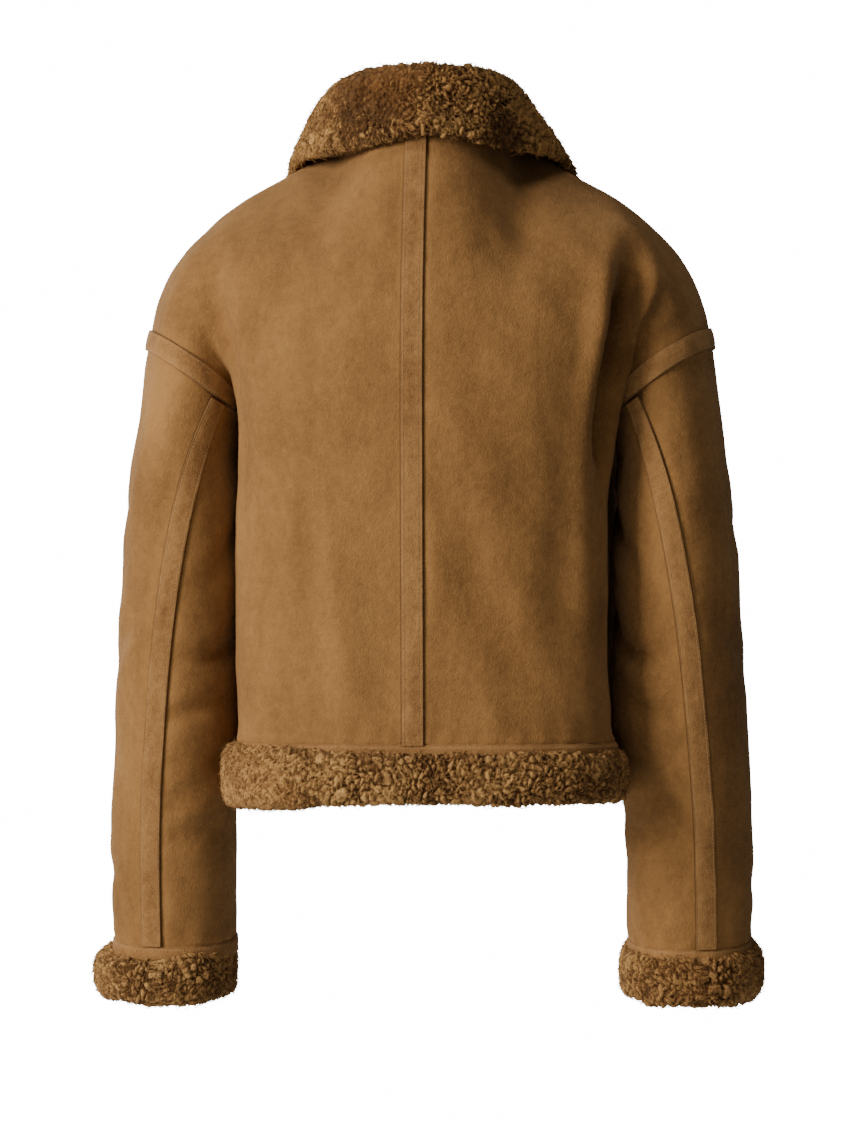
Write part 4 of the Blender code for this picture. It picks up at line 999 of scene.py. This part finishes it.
def curls(points, grain, stretch, size, rough, seed):
    """Height from 0 to 1 of packed curls, and each curl's own number. The places are swirled by slow
    waves and drawn out along the grain; each cell is a dome with a crease round it, and small cells
    split it into tufts. Where rough is low the wool is combed flat."""
    swirl, drift = (
        np.stack([swell(points, wavelength, seed + start + k) for k in range(3)], axis=-1)
        for wavelength, start in ((0.016, 0), (0.050, 3))
    )
    places = (points + 0.0030 * swirl + 0.0045 * drift) / size
    grain = unit(np.asarray(grain, float))
    places = places - (1 - 1 / stretch) * (places * grain).sum(axis=-1, keepdims=True) * grain
    nearest, second, own = curl_cells(places, seed)
    crease = eased((second - nearest) / 0.34)
    dome = 1 - (nearest / 0.9).clip(0, 1) ** 2
    small = curl_cells(places * 2.7, seed + 9)
    tuft = eased((small[1] - small[0]) / 0.4)
    height = 0.52 * crease + 0.30 * dome + 0.18 * tuft
    return height * rough + (1 - rough) * (0.74 + 0.12 * tuft), own


def closed_faces(rows, columns, joined):
    """Faces of a tube of rings: four-sided ones along it, and either its two ends joined, or each end
    closed by one face, which come last."""
    face = quads(rows, columns, wrap=True)
    near, ahead = np.arange(columns), (np.arange(columns) + 1) % columns
    last = (rows - 1) * columns
    if joined:
        return np.concatenate([face, np.stack([near + last, ahead + last, ahead, near], axis=1)]).tolist()
    return face.tolist() + [near[::-1].tolist(), (near + last).tolist()]


def curly_body(name, rings, lift, pattern, rough, joined, finish, seed):
    """A closed body of curls: its rings are raised along their normals by the curls' height times the
    lift. It comes with its raised points and their normals."""
    rows, columns = rings.shape[:2]
    wide = np.concatenate([rings[:, -1:], rings, rings[:, :1]], axis=1)
    if joined:
        wide = np.concatenate([wide[-1:], wide, wide[:1]])
    normals = faced_out(wide, wide.mean(axis=1, keepdims=True))[:, 1:-1]
    normals = normals[1:-1] if joined else normals
    height, own = curls(rings, *pattern, rough, seed)
    if not joined:
        from_end = np.minimum(np.arange(rows), np.arange(rows)[::-1]) * POINT_SPACING
        lift = lift * (0.1 + 0.9 * eased(from_end / 0.004))[:, None]
    raised = rings + normals * (lift * height)[..., None]
    piece = plain_piece(name, raised, closed_faces(rows, columns, joined))
    mesh = piece.data
    if faces_inwards(raised.reshape(-1, 3), quads(rows, columns, wrap=True)):
        mesh.flip_normals()
    if not joined:
        for cap in mesh.polygons[-2:]:
            cap.use_smooth = False
    # The curls' height, stored as along, also gives the wool its painted shade in the creases.
    mark(piece, "along", height)
    mark(piece, "tone", own)
    mesh.materials.append(finish)
    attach(piece, "jacket")
    return piece, raised, normals


def hair_roots(grid, spacing, random):
    """Staggered, shaken places a spacing apart over a grid: their fractional rows and columns."""
    down = np.linalg.norm(np.diff(grid, axis=0), axis=-1).mean(axis=1)
    over = np.linalg.norm(np.diff(grid, axis=1), axis=-1).mean(axis=0)
    down, over = (np.concatenate([[0.0], step.cumsum()]) for step in (down, over))
    rows, columns = max(2, round(down[-1] / spacing)), max(2, round(over[-1] / spacing))
    i, j = (a.reshape(-1) for a in np.meshgrid(np.arange(rows), np.arange(columns), indexing="ij"))
    a = (i + 0.5 + random.uniform(-0.45, 0.45, i.size)) / rows
    b = (j + 0.25 + 0.5 * (i % 2) + random.uniform(-0.45, 0.45, i.size)) / columns
    row = np.interp(a * down[-1], down, np.arange(len(down)))
    column = np.interp(b.clip(0, 1) * over[-1], over, np.arange(len(over)))
    return row, column


def read_off(grid, row, column):
    """Values of a grid at fractional rows and columns, by bilinear interpolation."""
    r = np.clip(row.astype(int), 0, grid.shape[0] - 2)
    c = np.clip(column.astype(int), 0, grid.shape[1] - 2)
    a, b = (row - r)[:, None], (column - c)[:, None]
    low = (1 - b) * grid[r, c] + b * grid[r, c + 1]
    return (1 - a) * low + a * ((1 - b) * grid[r + 1, c] + b * grid[r + 1, c + 1])


def loose_hairs(name, grid, normals, style, heading, finish, random):
    """Loose hairs over a surface. Each is a three-sided thread whose middle line leaves the surface
    steeply, arches over and hooks sideways, and whose girth tapers to its tip. The heading is an angle
    from the grid's columns towards its rows."""
    row, column = hair_roots(grid, style["spacing"], random)
    count, steps = len(row), style["steps"]
    root = read_off(grid, row, column)
    out = unit(read_off(normals, row, column))
    run = read_off(np.gradient(grid, axis=1), row, column)
    run = unit(run - (run * out).sum(axis=1, keepdims=True) * out)
    side = np.cross(out, run)
    hook = random.uniform(*style["hook"], count) * random.choice([-1, 1], count)
    length = style["length"] * random.uniform(0.6, 1.4, count)
    t = (np.arange(steps) + 0.5) / steps
    rise_start = random.normal(style["rise"][0], 0.2, count)[:, None]
    rise_end = random.normal(style["rise"][1], 0.3, count)[:, None]
    rise = rise_start + (rise_end - rise_start) * t
    way = (heading(root) + random.normal(0, style["stray"], count))[:, None] + hook[:, None] * t
    flat = np.cos(way)[..., None] * run[:, None] + np.sin(way)[..., None] * side[:, None]
    step = np.cos(rise)[..., None] * flat + np.sin(rise)[..., None] * out[:, None]
    step *= (length / steps)[:, None, None]
    line = np.concatenate([np.zeros((count, 1, 3)), step.cumsum(axis=1)], axis=1)
    line += root[:, None] - out[:, None] * style["sunk"]
    ahead = unit(np.gradient(line, axis=1))
    beside = unit(np.cross(ahead, out[:, None]) + 1e-9)
    upward = np.cross(beside, ahead)
    t = np.linspace(0, 1, steps + 1)
    girth = style["girth"] * random.uniform(0.6, 1.3, count)[:, None] * (1 - t[:-1]) ** 0.6
    turn = random.uniform(0, 2 * math.pi, count)[:, None] + np.arange(3) * 2 * math.pi / 3
    cos, sin = (f(turn)[:, None, :, None] for f in (np.cos, np.sin))
    ring = beside[:, :-1, None] * cos + upward[:, :-1, None] * sin
    points = line[:, :-1, None] + ring * girth[..., None, None]
    per = steps * 3 + 1
    points = np.concatenate([points.reshape(count, -1, 3), line[:, -1:]], axis=1)
    face = quads(steps, 3, wrap=True)
    tip = np.array([[k + 3 * (steps - 1), (k + 1) % 3 + 3 * (steps - 1), 3 * steps] for k in range(3)])
    start = (np.arange(count) * per)[:, None, None]
    sides = (face[None] + start).reshape(-1, 4)
    ends = (np.concatenate([tip, [[2, 1, 0]]])[None] + start).reshape(-1, 3)
    piece = plain_piece(name, points, sides.tolist() + ends.tolist())
    along = 0.45 + 0.55 * np.concatenate([np.repeat(t[:-1], 3), [1.0]])
    mark(piece, "along", np.broadcast_to(along, (count, per)))
    mark(piece, "tone", np.repeat(random.uniform(0, 1, count), per))
    piece.data.materials.append(finish)
    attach(piece, "jacket")
    return piece


AUBURN = (0.215, 0.082, 0.020)


def wool_finish(name, root, middle, tip, auburn, patches=()):
    """Wool: darker down between the curls, which is painted shade in the creases together with the wool's own
    darker roots, and paler to their tips, each curl of its own tone, with fine hairs, and reddish in soft
    patches. The patches given are paler or darker."""
    made, tree, principled = shader(name, middle, 0.92, 0.22, (0.95, 0.60, 0.28))
    place = tree.nodes.new("ShaderNodeTexCoord").outputs["Object"]
    along, tone = (tree.nodes.new("ShaderNodeAttribute") for _ in range(2))
    along.attribute_name, tone.attribute_name = "along", "tone"
    hair = noise(tree, place, 430.0, 5.0, 0.72)
    patch = noise(tree, place, 22.0, 2.0, 0.5)
    weights = ((tone.outputs["Fac"], 0.26), (patch, 0.5), (hair, 1.3), (along.outputs["Fac"], 0.55))
    share = weighed(tree, weights)
    share = placed_patches(tree, place, share, patches)
    colour = blended(tree, ranged(tree, share, 1.22, 1.60, 0.0, 1.0), middle, tip)
    blush = ranged(tree, noise(tree, place, 14.0, 1.0), 0.48, 0.66, 0.0, auburn)
    colour = blended(tree, blush, colour, AUBURN)
    # Painted shade: where the curls' height is low, down in their creases, and at the hairs' roots, the
    # colour goes towards the root colour, along with the wool's own darker roots.
    depth = ranged(tree, along.outputs["Fac"], 0.14, 0.62, 0.85, 0.0)
    colour = blended(tree, depth, colour, root)
    tree.links.new(colour, principled.inputs["Base Color"])
    bumped(made, hair, 1.0, 0.0028)
    return made


wool = wool_finish("wool", (0.036, 0.014, 0.004), (0.135, 0.056, 0.014), (0.580, 0.315, 0.105), 0.25)
HAIRS = {
    "steps": 3, "length": 0.0066, "girth": 0.00046, "sunk": 0.0006, "spacing": 0.0041,
    "rise": (0.75, -0.40), "hook": (0.6, 2.6), "stray": 0.7,
}


def wool_roll(part, line, sizes, joined, pattern, rough, heading, seed):
    """One roll of curly wool with its loose hairs."""
    rings, outside = roll(*line, *sizes, PILE_DEPTH)
    body, raised, normals = curly_body(
        f"{part}_curls", rings, PILE_DEPTH, pattern, rough(rings), joined, wool, seed
    )
    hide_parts(part)
    if joined:
        raised, normals = (np.concatenate([grid, grid[:1]]) for grid in (raised, normals))
    raised, normals = raised[:, outside], normals[:, outside]
    loose_hairs(f"{part}_hairs", raised, normals, HAIRS, heading, wool, np.random.default_rng(seed))


def hem_heading(root):
    """Swept to the wearer's left at the left end, in all directions near the middle."""
    left = np.clip(root[:, 0] / 0.18, -1, 1)
    return -0.55 * left + 1.2 * np.exp(-((left / 0.35) ** 2)) * swell(root, 0.03, 3)


def cuff_heading(root):
    """Parted into groups that fan out."""
    return 0.9 * swell(root, 0.05, 9)


def hem_rough(points):
    """Curly along the hem, but combed nearly flat at the wearer's left end of the back."""
    combed = eased((points[..., 0] - 0.085) / 0.06) * eased(points[..., 1] / 0.05)
    return np.clip(0.86 + 0.22 * swell(points, 0.05, 61), 0.45, 1.0) * (1 - 0.62 * combed)


def cuff_rough(points):
    """Curly, with the top of the roll combed flatter."""
    outer = eased((np.abs(points[..., 0]) - 0.27) / 0.03)
    return np.clip(0.82 + 0.25 * swell(points, 0.04, 62), 0.4, 1.0) * (1 - 0.35 * outer)


for seed, part in enumerate(hems):
    ring, out = hem_line(part, 19)
    left = eased((ring[:, 0] - 0.02) / 0.12) if part == "back" else 0.5
    top = HEM_WELT_HEIGHT - TUCKED - 0.005 * left + 0.0012 * swell(ring, 0.03, 71)
    bottom = HEM_DROP - 0.006 * (1 - left) + 0.0012 * swell(ring, 0.04, 72)
    wool_roll(
        f"hem_wool_{part}", (ring, out), (top, bottom, HEM_WOOL_OUT + 0.002 * left, HEM_WOOL_IN), False,
        HEM_PATTERN, hem_rough, hem_heading, 100 + seed,
    )
for seed, (side, flip) in enumerate(both):
    swelling = CUFF_WOOL_OUT + CUFF_WOOL_SWELL[side] * fine_cuff_out[:, 0]
    rising = 0.007 * eased(0.4 - 0.6 * fine_cuff_out[:, 0]) if side == "_left" else 0.0065
    top = CUFF_WELT_HEIGHT - TUCKED - rising + 0.0018 * swell(fine_cuff * flip, 0.025, 73)
    bottom = CUFF_WOOL_DROP + 0.0015 * swell(fine_cuff * flip, 0.04, 74)
    wool_roll(
        f"cuff_wool{side}", (fine_cuff * flip, fine_cuff_out * flip),
        (top, bottom, swelling, CUFF_WOOL_IN), True,
        CUFF_PATTERN, cuff_rough, cuff_heading, 200 + seed,
    )

# ---- Collar ----
# One wide piece of long shearling, sewn to the neck, stands up and turns down over itself. Its wool is on
# the outside, and runs down to a ragged edge; its suede shows only underneath.
COLLAR_WALL = 0.011
COLLAR_LIFT = 0.0008
COLLAR_FOLD_RADIUS = 0.0095
COLLAR_STAND_BULGE = 0.002
COLLAR_STATIONS = {
    "neck_turn": (0.0, 45.0, 90.0, 132.0, 172.0),
    "edge_turn": (0.0, 45.0, 88.0, 121.0, 149.0),
    "fold_r": (0.0880, 0.0830, 0.0785, 0.0890, 0.1010),
    "fold_z": (0.0490, 0.0440, 0.0300, 0.0020, -0.0290),
    "mid_r": (0.1020, 0.0990, 0.1050, 0.1200, 0.1300),
    "mid_z": (0.0180, 0.0100, 0.0000, -0.0360, -0.0740),
    "edge_r": (0.1100, 0.1080, 0.1235, 0.1510, 0.1610),
    "edge_z": (-0.0165, -0.0240, -0.0280, -0.0740, -0.1280),
}
COLLAR_MIDDLE = np.array([0.0, 0.0, -0.1])
COLLAR_PATTERN = ((0.35, 0.0, 0.9), 1.4, 0.0050)
COLLAR_FULLER = 0.0065
COLLAR_EDGE_RISE = 0.0075
COLLAR_TURNS = 41
COLLAR_POINTS = 41
COLLAR_PILE = 0.0052
COLLAR_ROWS = 560
# The paler patch along the right rim is painted light on the side the lamps leave darker; the darker patches
# are painted shade, partly the wool's own darker tone.
COLLAR_PATCHES = (  # darker behind the left of the neck and low at the right, paler along the right rim: partly the wool's own tone, partly painted shade and painted light
    ((0.050, 0.100, 0.022), 0.062, -0.34), ((0.095, 0.080, -0.005), 0.060, -0.17),
    ((-0.080, 0.085, -0.006), 0.034, -0.45), ((-0.112, 0.055, 0.002), 0.055, 0.30),
    ((-0.060, 0.090, 0.040), 0.045, 0.12),
)
wool_collar = wool_finish(
    "wool_collar", (0.028, 0.010, 0.003), (0.104, 0.042, 0.010), (0.560, 0.296, 0.092), 0.50, COLLAR_PATCHES
)


def collar_section(turn):
    """The middle line of the collar's wall at one place round the neck: up, over and down."""
    at = {k: float(smooth(turn, COLLAR_STATIONS["neck_turn"], v)) for k, v in COLLAR_STATIONS.items()}
    angles = math.radians(turn), math.radians(at["edge_turn"])
    neck_out, edge_out = (np.array([math.sin(angle), math.cos(angle), 0.0]) for angle in angles)
    up = np.array([0.0, 0.0, 1.0])
    start = neckline(turn) + up * COLLAR_LIFT
    fold = neck_out * at["fold_r"] + up * at["fold_z"]
    inside = fold - (neck_out + up) * COLLAR_FOLD_RADIUS
    outside = fold + (edge_out - up) * COLLAR_FOLD_RADIUS
    middle = edge_out * at["mid_r"] + up * at["mid_z"]
    edge = edge_out * at["edge_r"] + up * at["edge_z"]
    stand = (start + inside) / 2 - neck_out * COLLAR_STAND_BULGE
    through = np.array([start, stand, inside, fold, outside, middle, edge])
    along = lengths(through)
    dense = np.linspace(0, along[-1], FINE)
    line = np.stack([smooth(dense, along, through[:, k]) for k in range(3)], axis=1)
    return spaced(line, np.linspace(0, lengths(line)[-1], COLLAR_POINTS))


turns = np.linspace(0, COLLAR_STATIONS["neck_turn"][-1], COLLAR_TURNS)
half = np.array([collar_section(turn) for turn in turns])
collar = np.concatenate([mirrored(half[1:])[::-1], half])
collar_out = normals_of(collar)
if (collar_out[:, -8:] * (collar[:, -8:] - COLLAR_MIDDLE)).sum() < 0:
    collar_out = -collar_out
over = np.clip((np.arange(COLLAR_POINTS) / (COLLAR_POINTS - 1) - 0.36) / 0.64, 0, 1)
behind_neck = (collar[..., 1] > 0) * np.exp(-(((collar[..., 0] + 0.02) / 0.075) ** 2))
collar[..., 2] += COLLAR_EDGE_RISE * over**2 * behind_neck
fuller = COLLAR_FULLER * np.sin(np.pi * over**0.8) * eased(collar[..., 0] / 0.06)
skin = collar + collar_out * (0.0006 + 0.0008 * swell(collar, 0.02, 51) + fuller)[..., None]
under = collar - collar_out * (COLLAR_WALL / 2)
rim, _ = edge_distance(collar)
# The rim distance gives the suede under the collar painted shade along its edges.
shell = wall("collar_shearling", skin - collar_out * 0.0012, under, rim)
shell.data.materials[0] = wool_inside
shell.data.materials[1] = suede
index = np.ones(len(shell.data.polygons), np.int32)
index[: (collar.shape[0] - 1) * (collar.shape[1] - 1)] = 0
shell.data.polygons.foreach_set("material_index", index)
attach(shell, "jacket")
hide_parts("collar")


def collar_heading(root):
    """Down to the edge, swept outwards at both sides, in curls of uneven size."""
    return 0.35 * np.clip(root[:, 0] / 0.12, -1, 1) + 0.6 * swell(root, 0.035, 13)


def collar_rough(points):
    """Curly on the wearer's right and below, combed flatter at the left rim and beside the middle."""
    left = eased((points[..., 0] - 0.045) / 0.05) * 0.55
    crown = np.exp(-(((points[..., 0] - 0.035) / 0.03) ** 2) - ((points[..., 2] - 0.040) / 0.028) ** 2) * 0.45
    return np.clip(0.90 + 0.16 * swell(points, 0.05, 63), 0.45, 1.0) * (1 - left) * (1 - crown)


tucked = unit(np.gradient(skin, axis=1)[:, -1:])
round_rim = [
    skin[:, -1:] * (1 - t) + under[:, -1:] * t + tucked * 0.0020 * math.sin(math.pi * t)
    for t in (0.2, 0.5, 0.8)
]
wooled = np.concatenate([skin, *round_rim], axis=1)
around_neck = refined(wooled, np.linspace(0, len(wooled) - 1, COLLAR_ROWS))
down = lengths(wooled[len(wooled) // 2])
closeness = np.where(down[1:] > 0.045, 1.0, 0.5)
run = np.concatenate([[0.0], (np.diff(down) * closeness).cumsum()])
columns = np.interp(np.linspace(0, run[-1], round(run[-1] / POINT_SPACING)), run, np.arange(len(down)))
dense = across(refined(across(around_neck), columns))
sunk = refined(skin - collar_out * 0.0022, np.linspace(0, len(skin) - 1, COLLAR_ROWS))
back_up = across(refined(across(sunk), np.linspace(skin.shape[1] - 1.5, 0.4, 14)))
rings = np.concatenate([dense, back_up], axis=1)
lift = np.full(rings.shape[1], COLLAR_PILE)
lift[dense.shape[1] :] = 0.0
collar_curls, raised, normals = curly_body(
    "collar_curls", rings, lift, COLLAR_PATTERN, collar_rough(rings), False, wool_collar, 300
)
raised, normals = raised[:, : dense.shape[1]], normals[:, : dense.shape[1]]
collar_hairs = loose_hairs(
    "collar_hairs", raised, normals, HAIRS, collar_heading, wool_collar, np.random.default_rng(301)
)

# ---- Zip ----
# A metal zip closes the centre front, from the neck to the hem. Its tapes are sewn behind the front
# edges, and the teeth are clamped over the tapes' inner edges; the slider stays closed at the top.
TOOTH_PITCH = 0.0032
TOOTH = (0.0034, 0.0017, 0.0026)
TOOTH_OVERLAP = 0.0007
ZIP_TAPE_DEPTH = 0.0030
ZIP_BOTTOM_Z = -0.606
SLIDER_Z = -0.078


def front_line(z):
    """Points of the centre front line at these heights, and the unit vectors down it and out of it."""
    y = smooth(z, FRONT_PROFILE["z"], FRONT_PROFILE["y"])
    step = 0.002
    drop = smooth(z - step, FRONT_PROFILE["z"], FRONT_PROFILE["y"]) - y
    down = unit(np.stack([np.zeros_like(z), drop, np.full_like(z, -step)], axis=-1))
    out = np.stack([np.zeros_like(z), down[:, 2], -down[:, 1]], axis=-1)
    return np.stack([np.zeros_like(z), y, z], axis=-1), down, out


def tooth_rows(z, sign):
    """Points of one side's teeth: six-sided blocks, narrower towards the middle."""
    place, down, out = front_line(z)
    wide, tall, thick = TOOTH
    corners = []
    for x, share in ((0.0, 0.62), (wide * 0.55, 1.0), (wide, 0.8)):
        for height, depth in ((-0.5, -0.5), (0.5, -0.5), (0.5, 0.5), (-0.5, 0.5)):
            sideways = np.array([sign * (x - TOOTH_OVERLAP), 0.0, 0.0])
            behind = ZIP_TAPE_DEPTH - 0.0009 - thick * depth * share
            corners.append(place + sideways + down * tall * height * share - out * behind)
    return np.stack(corners, axis=1)


heights = np.arange(ZIP_BOTTOM_Z + 0.0005, SLIDER_Z - 0.009, TOOTH_PITCH)
teeth = np.concatenate([tooth_rows(heights, 1.0), tooth_rows(heights + TOOTH_PITCH / 2, -1.0)])
block = np.concatenate([quads(3, 4, wrap=True), [[3, 2, 1, 0], [8, 9, 10, 11]]])
faces = (block[None] + (np.arange(len(teeth)) * 12)[:, None, None]).reshape(-1, 4)
mesh = bpy.data.meshes.new("zip_teeth")
mesh.from_pydata(teeth.reshape(-1, 3).tolist(), [], faces.tolist())
zip_teeth = bpy.data.objects.new("zip_teeth", mesh)
bpy.context.scene.collection.objects.link(zip_teeth)


def brass_finish():
    """Antique brass, mottled darker and brighter by a fine noise, and smoother where it is brighter."""
    made = bpy.data.materials.new("antique_brass")
    made.use_nodes = True
    tree = made.node_tree
    principled = tree.nodes["Principled BSDF"]
    principled.inputs["Metallic"].default_value = 1.0
    place = tree.nodes.new("ShaderNodeTexCoord").outputs["Object"]
    stain = noise(tree, place, 420.0, 4.0)
    bright = ranged(tree, stain, 0.35, 0.7, 0.0, 1.0)
    colour = blended(tree, bright, (0.20, 0.135, 0.060), (0.50, 0.36, 0.18))
    tree.links.new(colour, principled.inputs["Base Color"])
    tree.links.new(ranged(tree, stain, 0.3, 0.7, 0.45, 0.25), principled.inputs["Roughness"])
    return made


def tape_finish():
    """Dark brown twill tape, its ribs across the tape."""
    made, tree, principled = shader("zip_tape_woven", (0.06, 0.034, 0.018), 0.9, 0.2, (0.6, 0.5, 0.4))
    place = tree.nodes.new("ShaderNodeTexCoord").outputs["Object"]
    rib = tree.nodes.new("ShaderNodeTexWave")
    rib.bands_direction = "Z"
    rib.inputs["Scale"].default_value = 160.0
    tree.links.new(place, rib.inputs["Vector"])
    colour = blended(tree, rib.outputs["Fac"], (0.045, 0.024, 0.012), (0.085, 0.050, 0.026))
    tree.links.new(colour, principled.inputs["Base Color"])
    bumped(made, rib.outputs["Fac"], 0.6, 0.0004)
    return made


brass = brass_finish()
zip_teeth.data.materials.append(brass)
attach(zip_teeth, "jacket")
tape = tape_finish()
zip_solids = {"zip_tape_left": tape, "zip_tape_right": tape, "zip_slider": brass, "zip_pull": brass}
for node, material in zip_solids.items():
    solid = bpy.data.objects[node]
    solid.data.materials.clear()
    solid.data.materials.append(material)

# ---- Stage ----
# A pale floor well below the jacket, a large soft key lamp from the wearer's left, a weak fill from the
# right, a lamp above, a low one in front of the left side, and a white studio behind everything.
PIXEL = 0.00092  # the size of one pixel of the photograph's frame, at the middle of the jacket
FRAME_HEIGHT = 1130
FRAME_MIDDLE = (424, 565)
ORIGIN_AT = (430, 130)
AZIMUTH = math.radians(183.7)
DISTANCE = 4.0
SENSOR_HEIGHT = 24
aside, above = ((middle - origin) * PIXEL for middle, origin in zip(FRAME_MIDDLE, ORIGIN_AT))
towards = Vector((math.sin(AZIMUTH), -math.cos(AZIMUTH), 0.0))
sideways = Vector((0, 0, 1)).cross(towards)
camera = bpy.data.objects.new("camera", bpy.data.cameras.new("camera"))
bpy.context.scene.collection.objects.link(camera)
camera.location = Vector((0, 0, -above)) + sideways * aside + towards * DISTANCE
camera.rotation_mode = "QUATERNION"
camera.rotation_quaternion = (-towards).to_track_quat("-Z", "Y")
camera.data.sensor_fit = "VERTICAL"
camera.data.sensor_height = SENSOR_HEIGHT
camera.data.lens = SENSOR_HEIGHT * DISTANCE / (FRAME_HEIGHT * PIXEL)
bpy.context.scene.camera = camera

FLOOR_REACH = 3.2
FLOOR_Z = -1.45
corners = np.array([(-1, -1, 0), (1, -1, 0), (1, 1, 0), (-1, 1, 0)]) * FLOOR_REACH + np.array([0, 0, FLOOR_Z])
floor = plain_piece("floor", corners, [(0, 1, 2, 3)])
pale = bpy.data.materials.new("pale_floor")
pale.use_nodes = True
pale.node_tree.nodes["Principled BSDF"].inputs["Base Color"].default_value = (0.8, 0.8, 0.8, 1)
pale.node_tree.nodes["Principled BSDF"].inputs["Roughness"].default_value = 0.9
floor.data.materials.append(pale)


def lamp(name, place, target, size, watts, colour):
    """A square soft lamp that faces a point."""
    light = bpy.data.lights.new(name, "AREA")
    light.shape = "SQUARE"
    light.size = size
    light.energy = watts
    light.color = colour
    holder = bpy.data.objects.new(name, light)
    bpy.context.scene.collection.objects.link(holder)
    holder.location = place
    holder.rotation_mode = "QUATERNION"
    holder.rotation_quaternion = (Vector(target) - Vector(place)).to_track_quat("-Z", "Y")


lamp("key", (2.85, 2.15, 0.55), (0, 0, -0.38), 1.5, 188.0, (1.0, 0.97, 0.93))
lamp("fill", (-1.2, 3.4, 0.3), (0, 0, -0.4), 2.0, 3.5, (0.97, 0.98, 1.0))
lamp("top", (0.1, 1.15, 2.3), (0, 0, -0.1), 1.0, 24.0, (1.0, 0.98, 0.96))
lamp("rim", (1.9, -2.6, 0.3), (0.1, 0, -0.5), 0.8, 45.0, (1.0, 0.98, 0.95))

SKY_LIGHT = 0.060
BACKDROP = 16.0
world = bpy.data.worlds.new("studio")
world.use_nodes = True
bpy.context.scene.world = world
sky, paths = world.node_tree.nodes["Background"], world.node_tree.nodes.new("ShaderNodeLightPath")
sky.inputs["Color"].default_value = (1.0, 1.0, 1.0, 1.0)
strength = world.node_tree.nodes.new("ShaderNodeMapRange")
strength.inputs["To Min"].default_value = SKY_LIGHT
strength.inputs["To Max"].default_value = BACKDROP
world.node_tree.links.new(paths.outputs["Is Camera Ray"], strength.inputs["Value"])
world.node_tree.links.new(strength.outputs["Result"], sky.inputs["Strength"])
